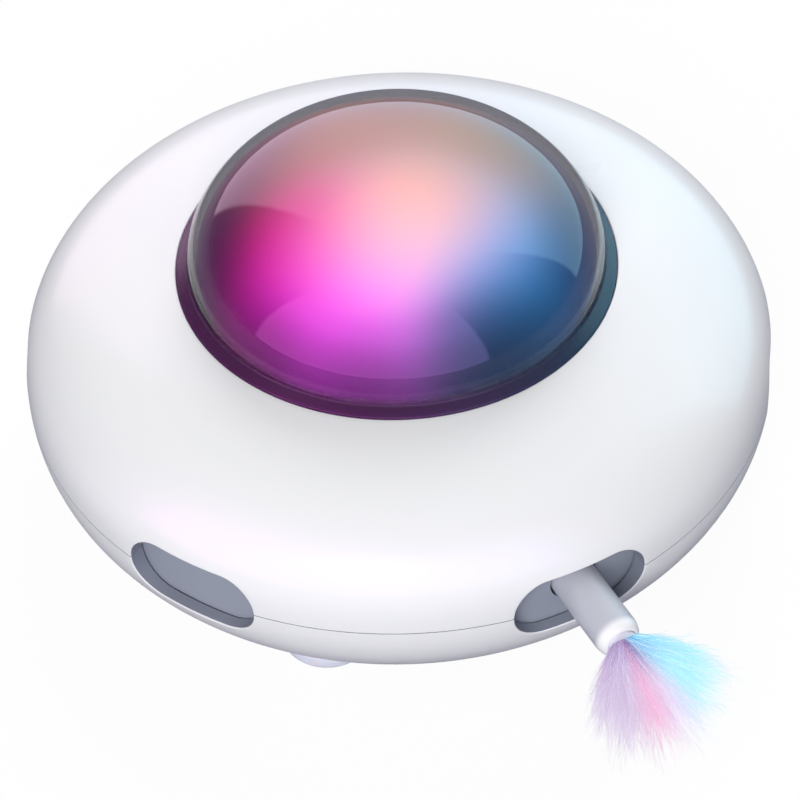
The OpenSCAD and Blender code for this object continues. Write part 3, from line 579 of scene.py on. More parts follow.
# %% Turntable
SKIRT_R = 78.0
SKIRT_IN = 76.2
SKIRT_LOW, SKIRT_TOP = 15.8, 33.6
SKIRT_EDGE = 0.7
ARM_Z = 26.1
TUBE_R = 4.9
TUBE_ROOM = 0.5
HOLE_HALF = 9
DECK_LOW, DECK_TOP = 18.5, 20.5
HUB_R, HUB_IN, BORE_IN = 24.4, 22.6, 22.4
HUB_TOP, BORE_TOP = 32, 27.5
BOSS_R, BOSS_LOW = 27, 17.2

z = np.linspace(SKIRT_LOW + SKIRT_EDGE, SKIRT_TOP - SKIRT_EDGE, 9)
shares = np.linspace(0, 1, 8)
sheets = []
walls = []
for r in (SKIRT_R, SKIRT_IN):
    side = joined(r, z)
    sheets.append(lathe(side, HOLE_HALF, FULL_TURN - HOLE_HALF))
    edge = band_edge(HOLE_HALF, side[:, 0], z)
    rings = hole_rings(edge, np.array([0, ARM_Z]), 0, TUBE_R + TUBE_ROOM, shares)
    across = rings[..., 0]
    walls.append(joined(across, -np.sqrt(r ** 2 - across ** 2), rings[..., 1]))
sheets.append(np.concatenate([walls[0], walls[1][::-1]]))
for end, side in ((SKIRT_TOP, -1), (SKIRT_LOW, 1)):
    rim = rounded([(SKIRT_R, end + side * SKIRT_EDGE), (SKIRT_R, end), (SKIRT_IN, end),
                   (SKIRT_IN, end + side * SKIRT_EDGE)], [0.6, 0.6])
    sheets.append(lathe(rim))
deck_r = SKIRT_IN + 0.1
deck = rounded([(BORE_IN, BOSS_LOW), (BOSS_R, BOSS_LOW), (BOSS_R, DECK_LOW), (deck_r, DECK_LOW),
                (deck_r, DECK_TOP), (HUB_R, DECK_TOP), (HUB_R, HUB_TOP), (HUB_IN, HUB_TOP),
                (HUB_IN, BORE_TOP), (BORE_IN, BORE_TOP)],
               [0.2, 0.3, 0.2, 0.2, 0.5, 0.3, 0.3, 0.08])
sheets.append(lathe(np.concatenate([deck, deck[:1]])))
drum = make_piece("turntable_drum", sheets)
stand_in(drum, "turntable", "drum_plastic", "turntable")

# %% [markdown]
# ## The arm
# The tube is a long lathe piece that lies along -Y. Its lip rounds over softly to the bore that
# holds the feather. The profile is turned about the vertical axis first and then tipped over. A rail
# on its back keeps it upright in its guide, and a flag at its side meets the end switches.

# %% Arm tube
ARM_IN = 45.5
ARM_TIP = 98.2
BORE_R = 3.15
BORE_END = ARM_TIP - 15
RAIL = ((-2, -71.9, ARM_Z + 3.8), (2, -ARM_IN, ARM_Z + TUBE_R + 0.4))
FLAG = ((-8.4, -48.5, ARM_Z - 1.5), (-4.3, -46.5, ARM_Z + 1.5))
LIP_LONG, LIP_WIDE = 3.0, 1.5

t = np.radians(np.linspace(0, 90, 12))
lip = joined(TUBE_R - LIP_WIDE * (1 - np.cos(t)), ARM_TIP - LIP_LONG * (1 - np.sin(t)))
body_steps = joined(TUBE_R, np.linspace(ARM_IN + 0.5, ARM_TIP - LIP_LONG, 10))
profile = np.concatenate([
    [(0, ARM_IN), (TUBE_R - 0.5, ARM_IN), (TUBE_R - 0.15, ARM_IN + 0.15)],
    body_steps[:-1], lip, [(BORE_R + 0.12, ARM_TIP), (BORE_R, ARM_TIP - 0.2),
                           (BORE_R, BORE_END), (0, BORE_END)]])


def along_arm(profile, step):
    """A lathe piece tipped over: its height runs out along -Y and its axis lies at ARM_Z."""
    x, y, z = np.moveaxis(lathe(profile, step=step), -1, 0)
    return joined(x, -z, ARM_Z + y)


def box_sheets(low, high):
    """Six faces of a block between two corners."""
    (x0, y0, z0), (x1, y1, z1) = low, high
    ring = np.array([(x0, y0), (x1, y0), (x1, y1), (x0, y1), (x0, y0)])
    wall = np.stack([joined(*ring.T, h) for h in (z0, z1)])
    return [wall], [wall[0][:4], wall[1][:4]]


rail_sheets, rail_caps = box_sheets(*RAIL)
flag_sheets, flag_caps = box_sheets(*FLAG)
arm_tube = make_piece("arm_tube_skin", [along_arm(profile, 3.0)] + rail_sheets + flag_sheets,
                      rail_caps + flag_caps)
stand_in(arm_tube, "arm", "arm_plastic", "arm_tube")

# %% [markdown]
# ## Rubber feet
# Each foot is a soft disc with rounded edges. Fine rings in its sole grip the floor.

# %% Feet
FOOT_R, SOLE_R = 10.0, 8.4
FOOT_LOW, FOOT_TOP = -1.5, 2.45
GROOVE_DEEP, GROOVE_PITCH = 0.22, 2.1
SCREW_R, SCREW_LOW = 3.1, 0.6

sole_r = np.linspace(0, SOLE_R, 43)
wave = np.sin(sole_r * 2 * math.pi / GROOVE_PITCH)
groove = GROOVE_DEEP * np.clip(wave, 0, 1) * (sole_r > GROOVE_PITCH / 2)
sole = joined(sole_r, groove + FOOT_LOW)
edge = rounded([(SOLE_R, FOOT_LOW), (FOOT_R, FOOT_LOW), (FOOT_R, FOOT_TOP), (SCREW_R, FOOT_TOP),
                (SCREW_R, SCREW_LOW), (0, SCREW_LOW)], [1.2, 0.3, 0.15, 0.15])
one_foot = lathe(np.concatenate([sole[:-1], edge]), step=6)
feet_sheets = [turned(one_foot + [0, -FOOT_AT_R, 0], angle) for angle in FOOT_ANGLES]
feet = make_piece("feet_rubber", feet_sheets, crease=50)
stand_in(feet, "housing", "foot_rubber", "rubber_feet")

# %% [markdown]
# ## The power button
# A shallow dish in the button's face finds the fingertip. Its flange stays behind the shell.

# %% Power button
DISH_R, DISH_DEEP = 5.2, 0.35
BUTTON_R = 6.0
FLANGE_LOW = WALL + 0.05

low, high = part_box("power_button")
face_z, top_z, flange_r = low.z / MM, high.z / MM, (high.x - low.x) / MM / 2
dish_r = np.linspace(0, DISH_R, 14)
dish = joined(dish_r, face_z + DISH_DEEP * (1 - (dish_r / DISH_R) ** 2) ** 2)
rim = rounded([(DISH_R, face_z), (BUTTON_R, face_z), (BUTTON_R, FLANGE_LOW), (flange_r, FLANGE_LOW),
               (flange_r, top_z), (0, top_z)], [0.35, 0.1, 0.2, 0.2])
button = make_piece("button_cap", [lathe(np.concatenate([dish[:-1], rim]), step=4)
                                   + [0, BUTTON_Y, 0]])
stand_in(button, "button", "button_plastic", "power_button")

# %% [markdown]
# ## The feather
# A marabou plume has no stiff vane. Thousands of limp barbs leave the ferrule together, fan out in
# locks and carry a haze of finer hairs. Each barb here is a thin, three-sided tube along a curve,
# and all the curves are computed at once. A hair system would be lost in an export, meshes stay.

# %% Outline and curves of the barbs
PLUME_ROOT = np.array([0.0, -(ARM_TIP - 0.6), ARM_Z])
PLUME_LEN = 34.5
PLUME_LEAN = -14.0
LEFT, RIGHT = -48.0, 54.0
LOCKS = 90
rng = np.random.default_rng(11)


def barb_reach(angle):
    """Length of a barb at an angle (degrees towards +X): longest at the lean, and shorter as the
    cosine of the angle from it, which falls faster on the left side."""
    away = angle - PLUME_LEAN
    return PLUME_LEN * np.cos(np.radians(away * np.where(away > 0, 0.8, 1.45)))


def barb_curves(angle, lift, length, start, bend, wave, points):
    """Centre lines. Each barb starts narrower than its own angle, opens to it by a third of its
    length and bends on. Waves grow towards the tip, and a fine crimp (the last three columns of
    wave) lies on them. Gravity pulls it down with the distance."""
    t = np.linspace(0, 1, points)
    open_up = 1 - 0.45 * np.exp(-t / 0.12)
    size, around, phase, nod, nod_phase, crimp, crimps, crimp_phase = wave.T[..., None]
    swing = size * t ** 0.7 * np.sin(2 * np.pi * (around * t + phase))
    fine = crimp * t ** 0.4 * np.sin(2 * np.pi * (crimps * t + crimp_phase))
    heading = np.radians(angle[:, None] * open_up + bend[:, None] * t ** 2 + swing + fine)
    bob = size * t ** 0.7 * np.sin(2 * np.pi * (nod * t + nod_phase))
    rise = np.radians(lift[:, None] * (1 - 0.5 * t) + 0.7 * bob - 9 * t ** 1.5)
    step = joined(np.sin(heading) * np.cos(rise), -np.cos(heading) * np.cos(rise), np.sin(rise))
    step *= (length / (points - 1))[:, None, None]
    line = np.concatenate([np.zeros((len(angle), 1, 3)), np.cumsum(step[:, 1:], axis=1)], axis=1)
    return start[:, None] + line


def waves(count, size, crimp):
    """Random swing sideways and up and down, with its count and place along the barb, and crimp."""
    return np.column_stack([rng.uniform(0.3, 1, count) * size, rng.uniform(0.6, 2.2, count),
                            rng.uniform(0, 1, count), rng.uniform(0.6, 2.0, count),
                            rng.uniform(0, 1, count), rng.uniform(0.3, 1, count) * crimp,
                            rng.uniform(3.0, 5.5, count), rng.uniform(0, 1, count)])


lock_angle = np.linspace(LEFT, RIGHT, LOCKS) + rng.normal(0, 1.2, LOCKS)
lock_lift = rng.normal(0, 7.0, LOCKS)
lock_share = rng.uniform(0.74, 1.0, LOCKS)
lock_bend = rng.normal(0, 9.0, LOCKS)
lock_wave = waves(LOCKS, 16, 0)


def strands(count, points, loose_share, shortest, crimp):
    """Lines of a set of barbs. Most follow a lock, a share of them is loose, and their lengths run
    from the share shortest of the plume's outline up to all of it."""
    lock = rng.integers(0, LOCKS, count)
    loose = rng.random(count) < loose_share
    angle = lock_angle[lock] + rng.normal(0, 1, count) * np.where(loose, 7.0, 1.7)
    angle = np.clip(angle, LEFT - 4, RIGHT + 3)
    lift = lock_lift[lock] + rng.normal(0, 1, count) * np.where(loose, 8.0, 2.2)
    length = barb_reach(angle) * lock_share[lock] * rng.uniform(shortest, 1, count) ** 0.8
    bend = lock_bend[lock] + rng.normal(0, 4.0, count)
    wave = lock_wave[lock] + waves(count, 6, crimp) * [1, 0.2, 0.15, 0.2, 0.15, 1, 1, 1]
    spread = rng.random(count) ** 0.5 * 2.1
    turn = rng.uniform(0, 2 * np.pi, count)
    side = np.clip(angle / 60, -1, 1) * 1.2
    start = PLUME_ROOT + joined(spread * np.cos(turn) * 0.7 + side, 0, spread * np.sin(turn) * 0.8)
    return barb_curves(angle, lift, length, start, bend, wave, points)


BARBS, BARB_POINTS = 2700, 12
WISPS, WISP_POINTS = 1000, 22
barbs = strands(BARBS, BARB_POINTS, 0.22, 0.35, 5.0)
wisps = strands(WISPS, WISP_POINTS, 0.5, 0.7, 13.0)
print("barbs", barbs.shape, "wisps", wisps.shape, "reach y", round(float(wisps[..., 1].min()), 1))

# %% [markdown]
# ### Down between the barbs
# Short hairs branch off the barbs at a narrow angle. They are what makes the outline of the plume
# fade out instead of ending in clean lines.

# %% Curves of the down
HAIRS = 8000
HAIR_POINTS = 4
HAIR_SHORT, HAIR_LONG = 1.2, 3.8
HAIR_SPREAD, HAIR_CURL = 0.45, 0.35
host = rng.integers(0, BARBS, HAIRS)
at = rng.integers(2, BARB_POINTS - 1, HAIRS)
foot_at = barbs[host, at]
tangent = barbs[host, at + 1] - foot_at
tangent /= np.linalg.norm(tangent, axis=1)[:, None]
sideways = rng.normal(0, 1, (HAIRS, 3))
sideways -= tangent * np.sum(tangent * sideways, axis=1)[:, None]
sideways /= np.linalg.norm(sideways, axis=1)[:, None]
reach = rng.uniform(HAIR_SHORT, HAIR_LONG, HAIRS)[:, None, None]
t = np.linspace(0, 1, HAIR_POINTS)[None, :, None]
hairs = (foot_at[:, None] + tangent[:, None] * reach * t
         + sideways[:, None] * reach * HAIR_SPREAD * (t - HAIR_CURL * t ** 2))
print("hairs", hairs.shape)

# %% [markdown]
# ### Colour of the plume
# The feather is dip-dyed: cyan on one side, pink in the middle, lavender on the other, and bleached
# at the tips. Near the root it is deeper, partly from the dye and partly as painted shade that stands
# in for the shade between the crowded barbs. Colour is a formula of the angle and the distance from
# the root, written to the mesh as an attribute, so it follows the barbs and not the room. Light runs
# through down so often that it hardly shades itself, so the barbs cast no shadow on each other.

# %% Colour formula
LAVENDER, PINK = (0.93, 0.87, 0.96), (1.0, 0.81, 0.92)
PALE, CYAN = (0.94, 0.91, 0.98), (0.75, 0.95, 0.99)
DYE = ((-24, LAVENDER), (-10, PINK), (3, PALE), (18, CYAN))
LILAC, PLUM, INDIGO, SKY, AQUA = ((0.74, 0.63, 0.85), (0.66, 0.48, 0.74), (0.38, 0.38, 0.68),
                                  (0.4, 0.67, 0.9), (0.52, 0.86, 0.94))
# deeper tones near the root: partly dye, partly painted shade between the crowded barbs
ROOT_DYE_AND_SHADE = ((-28, LILAC), (-16, PLUM), (0, INDIGO), (24, SKY), (65, AQUA))
BLEACH = np.array([0.98, 0.98, 1.0])


def by_angle(angle, stops):
    """Colour at an angle, blended between the stops next to it."""
    angles, tones = zip(*stops)
    return joined(*[np.interp(angle, angles, channel) for channel in zip(*tones)])


def dyed(points, shade, pale, depth):
    """Linear colour of each point: dye by angle, mixed with the root tone near the root
    (e^-(d/9)^2.4) by the barb's own depth, and with the bleached tone at the tip, then times the
    barb's shade. The root tone is part dye and part painted shade."""
    away = points - PLUME_ROOT
    angle = np.degrees(np.arctan2(away[..., 0], -away[..., 1]))
    distance = np.linalg.norm(away, axis=-1)
    tone, deep = by_angle(angle, DYE), by_angle(angle, ROOT_DYE_AND_SHADE)
    near = (np.exp(-(distance / 9.0) ** 2.4) * depth[:, None])[..., None]
    tip = np.clip((distance / barb_reach(np.clip(angle, LEFT, RIGHT)) - 0.6) / 0.5, 0, 1)[..., None]
    tone = tone + (deep - tone) * near
    tone = tone + (BLEACH - tone) * np.clip(tip * 0.8 + pale[:, None, None] * 0.85, 0, 1)
    tone = np.clip(tone * shade[:, None, None], 0, 1)
    return ((tone + 0.055) / 1.055) ** 2.4


def hair_mesh(name, lines, thick, thin, colour):
    """Three-sided tubes along the lines, from thick to thin, closed to a point at both ends."""
    count, points = lines.shape[:2]
    ahead = np.gradient(lines, axis=1)
    ahead /= np.linalg.norm(ahead, axis=-1, keepdims=True)
    across = np.cross(ahead, [0, 0, 1.0])
    across /= np.linalg.norm(across, axis=-1, keepdims=True)
    over = np.cross(across, ahead)
    taper = np.linspace(thick, thin, points)
    taper[0] = taper[-1] = 0.004
    a = np.radians([90, 210, 330])
    ring = across[:, :, None] * np.cos(a)[:, None] + over[:, :, None] * np.sin(a)[:, None]
    vertices = lines[:, :, None] + ring * taper[:, None, None]
    first = (np.arange(count)[:, None, None] * points + np.arange(points - 1)[:, None]) * 3
    this, following = np.arange(3), (np.arange(3) + 1) % 3
    quads = np.stack([first + this, first + following, first + following + 3, first + this + 3], -1)
    ends = np.arange(count)[:, None] * points * 3
    caps = np.concatenate([ends + [0, 2, 1], ends + (points - 1) * 3 + [0, 1, 2]])
    mesh = bpy.data.meshes.new(name)
    mesh.from_pydata((vertices.reshape(-1, 3) * MM).tolist(), [],
                     quads.reshape(-1, 4).tolist() + caps.tolist())
    mesh.polygons.foreach_set("use_smooth", np.ones(len(mesh.polygons), bool))
    dye = mesh.color_attributes.new("dye", "FLOAT_COLOR", "POINT")
    rgb = np.repeat(colour[:, :, None], 3, axis=2).reshape(-1, 3)
    dye.data.foreach_set("color", np.column_stack([rgb, np.ones(len(rgb))]).ravel())
    print(name, len(mesh.polygons), "faces")
    return placed(name, mesh)


def barb_tones(count, pale_share):
    """Each barb's shade, how bleached it is, and how much of the root tone (dye and painted shade) it
    takes.
    """
    bleached = rng.random(count) < pale_share
    return (rng.uniform(0.92, 1.02, count), bleached * rng.uniform(0.5, 1, count),
            rng.uniform(0.1, 1.0, count))


tones = barb_tones(BARBS, 0.16)
plume_barbs = hair_mesh("plume_barbs", barbs, 0.062, 0.02, dyed(barbs, *tones))
plume_down = hair_mesh("plume_down", hairs, 0.026, 0.012, dyed(hairs, *[t[host] for t in tones]))
plume_wisps = hair_mesh("plume_wisps", wisps, 0.058, 0.016, dyed(wisps, *barb_tones(WISPS, 0.35)))
for part in (plume_barbs, plume_down, plume_wisps):
    stand_in(part, "feather", "feather", "feather_plume")
    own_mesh(part)
    part.visible_shadow = False
    part.visible_diffuse = False

# %% [markdown]
# ## Finishes
# Every finish is made of nodes. Moulded plastic is never quite even: a fine grain lies on it,
# the gloss drifts, and the colour clouds a little. One recipe makes all of these from Object
# coordinates, because the pieces have no unwrapped surface and sit at the origin.

# %% Helpers that wire nodes
def feed(tree, node, **values):
    """Feeds the inputs that the keys name: an output is linked, any other value is set. A key that
    names no input sets a property of the node."""
    sockets = {s.name.lower().replace(" ", "_"): s for s in list(node.inputs)[::-1]}
    for key, value in values.items():
        if key not in sockets:
            setattr(node, key, value)
        elif isinstance(value, bpy.types.NodeSocket):
            tree.links.new(value, sockets[key])
        else:
            sockets[key].default_value = value


def add(tree, kind, *inputs, **values):
    """A new node. Its inputs are fed in order by outputs or values, and None skips one."""
    node = tree.nodes.new(kind)
    feed(tree, node, **values)
    for socket, value in zip(node.inputs, inputs):
        if isinstance(value, bpy.types.NodeSocket):
            tree.links.new(value, socket)
        elif value is not None:
            socket.default_value = value
    return node


def finish_of(name):
    """A material with its nodes, its main shader and Object coordinates."""
    material = bpy.data.materials.new(name)
    material.use_nodes = True
    tree = material.node_tree
    coordinates = add(tree, "ShaderNodeTexCoord")
    return material, tree, tree.nodes["Principled BSDF"], coordinates.outputs["Object"]


def show(tree, shader, volume=None):
    """The shader's output becomes the surface, and an optional second one the volume."""
    feed(tree, tree.nodes["Material Output"], surface=shader.outputs[0])
    if volume:
        feed(tree, tree.nodes["Material Output"], volume=volume.outputs[0])


def noise(tree, where, scale, detail=3.0):
    return add(tree, "ShaderNodeTexNoise", where, scale=scale, detail=detail).outputs["Fac"]


def ranged(tree, noise_value, low, high):
    """Most of a noise lies between 0.3 and 0.7, which becomes low to high."""
    return add(tree, "ShaderNodeMapRange", noise_value, 0.3, 0.7, low, high).outputs["Result"]


def ramp(tree, value, start, stop, low=0.0, high=1.0):
    """Smooth step from low, where the value is start, to high, where it is stop."""
    node = add(tree, "ShaderNodeMapRange", value, start, stop, low, high,
               interpolation_type="SMOOTHSTEP")
    return node.outputs["Result"]


def mixed(tree, share, one, two):
    """Colour between one and two; the mixing node has its colour inputs after five others."""
    skipped = [None] * 5
    return add(tree, "ShaderNodeMix", share, *skipped, one, two, data_type="RGBA").outputs[2]


def reckoned(tree, operation, one, two=0.0):
    """One step of arithmetic on numbers."""
    return add(tree, "ShaderNodeMath", one, two, operation=operation).outputs[0]


def vectors(tree, operation, one, two=None, **values):
    """One step of arithmetic on vectors, which gives a vector and a number."""
    return add(tree, "ShaderNodeVectorMath", one, two, operation=operation, **values).outputs


def along(tree, where, letter):
    """One coordinate of a vector."""
    return add(tree, "ShaderNodeSeparateXYZ", where).outputs[letter]

# %% The recipe for moulded and metal parts
def grained(name, colour, rough, grain=900.0, depth=0.012, cloud=0.04, **sockets):
    """Colour clouds by a share cloud, roughness drifts round rough, and a fine bump lies on top."""
    material, tree, shader, where = finish_of(name)
    dark = [c * (1 - cloud) for c in colour]
    drift = noise(tree, where, 28.0)
    bump = add(tree, "ShaderNodeBump", strength=1.0, distance=depth * MM,
               height=noise(tree, where, grain, 2.0))
    feed(tree, shader, base_color=mixed(tree, drift, (*colour, 1), (*dark, 1)),
         roughness=ranged(tree, drift, rough * 0.85, rough * 1.15),
         normal=bump.outputs["Normal"], **sockets)
    return material


finishes = {
    "white_plastic": grained("white_abs", (0.86, 0.86, 0.87), 0.32, 700, 0.006, 0.015,
                             coat_weight=0.25, coat_roughness=0.12),
    "black_rubber": grained("gasket_rubber", (0.02, 0.02, 0.022), 0.7, 900, 0.02),
    "lamp_board": grained("lamp_board_mask", (0.85, 0.86, 0.85), 0.4, 500, 0.02),
    "lamp": grained("lamp_resin", (0.95, 0.9, 0.75), 0.15, 600, 0.004, emission_strength=0.4),
    "steel": grained("plated_steel", (0.6, 0.61, 0.63), 0.28, 1500, 0.006, 0.08, metallic=1.0),
    "inner_plastic": grained("inner_abs", (0.7, 0.71, 0.75), 0.5, 700, 0.02, 0.05),
    "battery_foil": grained("pouch_foil", (0.7, 0.72, 0.75), 0.35, 260, 0.06, 0.1, metallic=0.9),
    "lead_insulation": grained("lead_pvc", (0.6, 0.1, 0.08), 0.45, 900, 0.01),
    "circuit_board": grained("solder_mask", (0.02, 0.16, 0.07), 0.35, 420, 0.03, 0.2),
    "black_plastic": grained("black_abs", (0.02, 0.02, 0.025), 0.45, 900, 0.02),
    "plunger_plastic": grained("plunger_pom", (0.62, 0.55, 0.38), 0.4),
    "button_plastic": grained("button_abs", (0.13, 0.14, 0.17), 0.42, 900, 0.02, 0.06),
    "brass": grained("brass_plate", (0.75, 0.58, 0.26), 0.3, 1300, 0.008, 0.1, metallic=1.0),
    "copper": grained("copper_ring", (0.78, 0.42, 0.26), 0.25, 1300, 0.006, 0.1, metallic=1.0),
    "nylon": grained("natural_nylon", (0.8, 0.78, 0.7), 0.45, 800, 0.015, 0.04),
    "drum_plastic": grained("drum_abs", (0.31, 0.34, 0.40), 0.42, 800, 0.012, 0.05),
    # painted shade: the grey of the slot walls stands for the white shell plastic in shade
    "slot_walls": grained("grey_abs", (0.23, 0.255, 0.305), 0.45, 800, 0.012, 0.05),
    "ferrule_plastic": grained("ferrule_pp", (0.78, 0.78, 0.88), 0.4),
    "feather": grained("feather_core", (0.7, 0.75, 0.9), 0.7),
}
print(len(finishes), "moulded and metal finishes")

# %% [markdown]
# ### The arm's grey, with a painted highlight on its lip
# The tube is satin grey. Its rounded lip is painted white, a painted highlight where light catches
# the rounded end. The change is a narrow ramp on the coordinate along the arm.

# %% Arm finish
LIP_HIGHLIGHT_START, LIP_HIGHLIGHT_FULL = ARM_TIP - 3.2, ARM_TIP - 1.2
arm_finish = grained("arm_abs", (0.53, 0.55, 0.61), 0.36, 800, 0.01, 0.04, coat_weight=0.15)
tree = arm_finish.node_tree
shader = tree.nodes["Principled BSDF"]
along_arm_axis = along(tree, tree.nodes["Texture Coordinate"].outputs["Object"], "Y")
# painted highlight: the last millimetres of the lip turn white
lip_highlight_share = ramp(tree, along_arm_axis, -LIP_HIGHLIGHT_START * MM, -LIP_HIGHLIGHT_FULL * MM)
grey_out = shader.inputs["Base Color"].links[0].from_socket
feed(tree, shader, base_color=mixed(tree, lip_highlight_share, grey_out, (0.9, 0.9, 0.92, 1)))
finishes["arm_plastic"] = arm_finish
print("arm finish", len(tree.nodes), "nodes")

# %% [markdown]
# ### Rubber of the feet
# Pale silicone lets some light in, so it gets subsurface scattering and a soft, dull surface.

# %% Foot finish
finishes["foot_rubber"] = grained("foot_silicone", (0.74, 0.76, 0.84), 0.5, 900, 0.015, 0.05,
                                  subsurface_weight=0.4, subsurface_scale=0.003)
print("foot finish made")

# %% [markdown]
# ### The dyed feather
# Down is thin enough to let light through, so half of its shader scatters light forwards. A faint
# emission of the dye is a painted glow that stands in for light bounced from barb to barb many times.
# The colour is the dye attribute that the barbs carry.

# %% Feather finish
THROUGH_SHARE = 0.55
down, tree, shader, where = finish_of("dyed_down")
dye = add(tree, "ShaderNodeAttribute", attribute_name="dye").outputs["Color"]
# painted glow: the feather emits its own dye colour faintly
feed(tree, shader, base_color=dye, emission_color=dye, emission_strength=0.3, roughness=0.6,
     sheen_weight=0.3, specular_ior_level=0.25)
through = add(tree, "ShaderNodeBsdfTranslucent", color=dye)
show(tree, add(tree, "ShaderNodeMixShader", THROUGH_SHARE, shader.outputs[0], through.outputs[0]))
for part in (plume_barbs, plume_down, plume_wisps):
    part.data.materials.append(down)
print("feather finish", len(tree.nodes), "nodes")

# %% [markdown]
# ### The smoky lens
# The lens is polished, grey polycarbonate. Colour painted on its face would look flat, so it is made
# as real glass: light bends at its faces and loses strength in its wall. The dark band round the
# dome comes from that alone. Close to the outline a sight line stays trapped in the wall. The rim
# is satin and carries a painted glow: faint emission, magenta to the left and blue to the right,
# which stands in for coloured light leaking out through it.

# %% Lens finish
SATIN = 0.30
RIM_GLOW_REACH = 0.040
lens_finish, tree, shader, where = finish_of("smoky_polycarbonate")
satin_and_glow = ramp(tree, along(tree, where, "Z"), DOME_FOOT_Z * MM, (DOME_FOOT_Z + 0.5) * MM, SATIN, 0.0)
polish = ranged(tree, noise(tree, where, 40.0), 0.004, 0.012)
# painted glow on the satin rim: emission running from magenta on the left to blue on the right
rim_glow_side = ramp(tree, along(tree, where, "X"), -RIM_GLOW_REACH, RIM_GLOW_REACH)
painted_rim_glow = mixed(tree, rim_glow_side, (1.0, 0.20, 1.05, 1), (0.15, 0.62, 1.2, 1))
feed(tree, shader, base_color=(1, 1, 1, 1), transmission_weight=1.0, ior=1.43,
     roughness=reckoned(tree, "ADD", satin_and_glow, polish),
     emission_color=mixed(tree, satin_and_glow, (0, 0, 0, 1), painted_rim_glow), emission_strength=0.12)
smoke = add(tree, "ShaderNodeVolumeAbsorption", color=(0.3, 0.27, 0.3, 1), density=440)
show(tree, shader, smoke)
finishes["dome_plastic"] = lens_finish
print("lens finish", len(tree.nodes), "nodes")

# %% [markdown]
# ### The glow under the lens
# Coloured lamps light the diffuser from inside. Their light is laid on it as emission: soft spots of
# colour, each strongest over its own place, blended by their weights, so that the colour between
# two spots is their mixture. Places are in millimetres to the right and to the back, seen from the
# camera. Five spots on a circle outside the diffuser are nearly dark, which lets its front edge fade.
# The shell round the dome catches some of this light by itself.

# %% Glow of the diffuser
RED, MAGENTA, BLUE = (0.9, 0.0, 0.0), (1.4, 0.0, 1.7), (0.0, 0.6, 1.5)
GOLD, ORANGE = (1.9, 1.3, 0.5), (2.4, 0.9, 0.1)
AMBER, ROSE = (0.6, 0.3, 0.0), (0.65, 0.3, 0.2)
DIM_PLUM, DIM_ROSE, DIM_TEAL = (0.2, 0.05, 0.15), (0.15, 0.1, 0.13), (0.05, 0.15, 0.3)
VIOLET, NIGHT, DARK = (0.05, 0.0, 0.07), (0.0, 0.01, 0.07), (0.0, 0.0, 0.01)
GLOWS = [((-15, -15), 9, RED), ((-9, -21), 10, MAGENTA), ((-4, -17), 8, GOLD),
         ((7, -9), 8.5, ORANGE), ((11, -11), 11.5, BLUE), ((17, 6), 10, AMBER), ((-4, 11), 13, ROSE),
         ((-34, 22), 11, DIM_PLUM), ((0, 38), 12, DIM_ROSE), ((34, 22), 11, DIM_TEAL)]
UNLIT_R = 50
for angle, width, colour in ((-80, 15, VIOLET), (-38, 8, DARK), (-13, 8, DARK), (28, 12, DARK),
                             (80, 15, NIGHT)):
    a = math.radians(angle)
    GLOWS.append(((UNLIT_R * math.sin(a), -UNLIT_R * math.cos(a)), width, colour))
GLOW_STRENGTH = 1.75
GLOW_FOOT = (0.0510, 0.0550)

glow_finish, tree, shader, where = finish_of("lit_diffuser")
level = vectors(tree, "MULTIPLY", where, (1000, 1000, 0))["Vector"]


def spot(place, width, colour):
    """Weight of a spot, e^(-(distance / width)^2 / 2), and its colour times that weight."""
    across, deep = place
    gap = vectors(tree, "DISTANCE", level, across * right + deep * forward)["Value"]
    square = reckoned(tree, "POWER", gap, 2.0)
    weight = reckoned(tree, "EXPONENT", reckoned(tree, "MULTIPLY", square, -1 / (2 * width ** 2)))
    return weight, vectors(tree, "SCALE", colour, scale=weight)["Vector"]


def summed(values):
    """Sum of the vectors that the outputs give."""
    total = values[0]
    for value in values[1:]:
        total = vectors(tree, "ADD", total, value)["Vector"]
    return total


weights, colours = zip(*[spot(*glow) for glow in GLOWS])
glow = vectors(tree, "DIVIDE", summed(colours), summed(weights))["Vector"]
lit = ramp(tree, along(tree, where, "Z"), *GLOW_FOOT)
feed(tree, shader, emission_color=vectors(tree, "SCALE", glow, scale=lit)["Vector"],
     emission_strength=GLOW_STRENGTH, base_color=(0.03, 0.02, 0.035, 1),
     roughness=ranged(tree, noise(tree, where, 60.0), 0.45, 0.6))
finishes["diffuser_plastic"] = glow_finish
print("glow finish", len(tree.nodes), "nodes")

# %% [markdown]
# ## Dress every piece
# The record names a slot for each node. New pieces and kept nodes take the slot's finish, except
# the plume, which has its own by now. The shells take a second one inside their slots: a grey that
# paints shade on the slot walls.

# %% Assign the finishes
slot_of = {part["node"]: part["material_slot"] for part in frame["record"]["subparts"]}
for node, piece in frame["nodes"].items():
    piece.data.materials.clear()
    piece.data.materials.append(finishes[slot_of[node]])
for part, slot in new_pieces:
    if not part.data.materials:
        part.data.materials.append(finishes[slot])
for part in (upper_shell, lower_shell):
    part.data.materials.append(finishes["slot_walls"])
    painted_shade_on_slot_walls(part)
print(len(frame["nodes"]), "nodes dressed")

# %% [markdown]
# ## The studio
# A pale floor under large, soft lamps. The background of a product picture is pure white, which
# would need so much light that the white toy washes out. So the floor shows the camera a mixture
# of its own lit colour, which carries the shadow, and plain white.

# %% Floor
FLOOR_HALF = 6.0
FLOOR_Z = -0.0015
FLOOR_BOUNCE = (0.24, 0.25, 0.29, 1)
FLOOR_SEEN = (0.95, 0.95, 0.96, 1)
WHITE_SHARE = 0.94

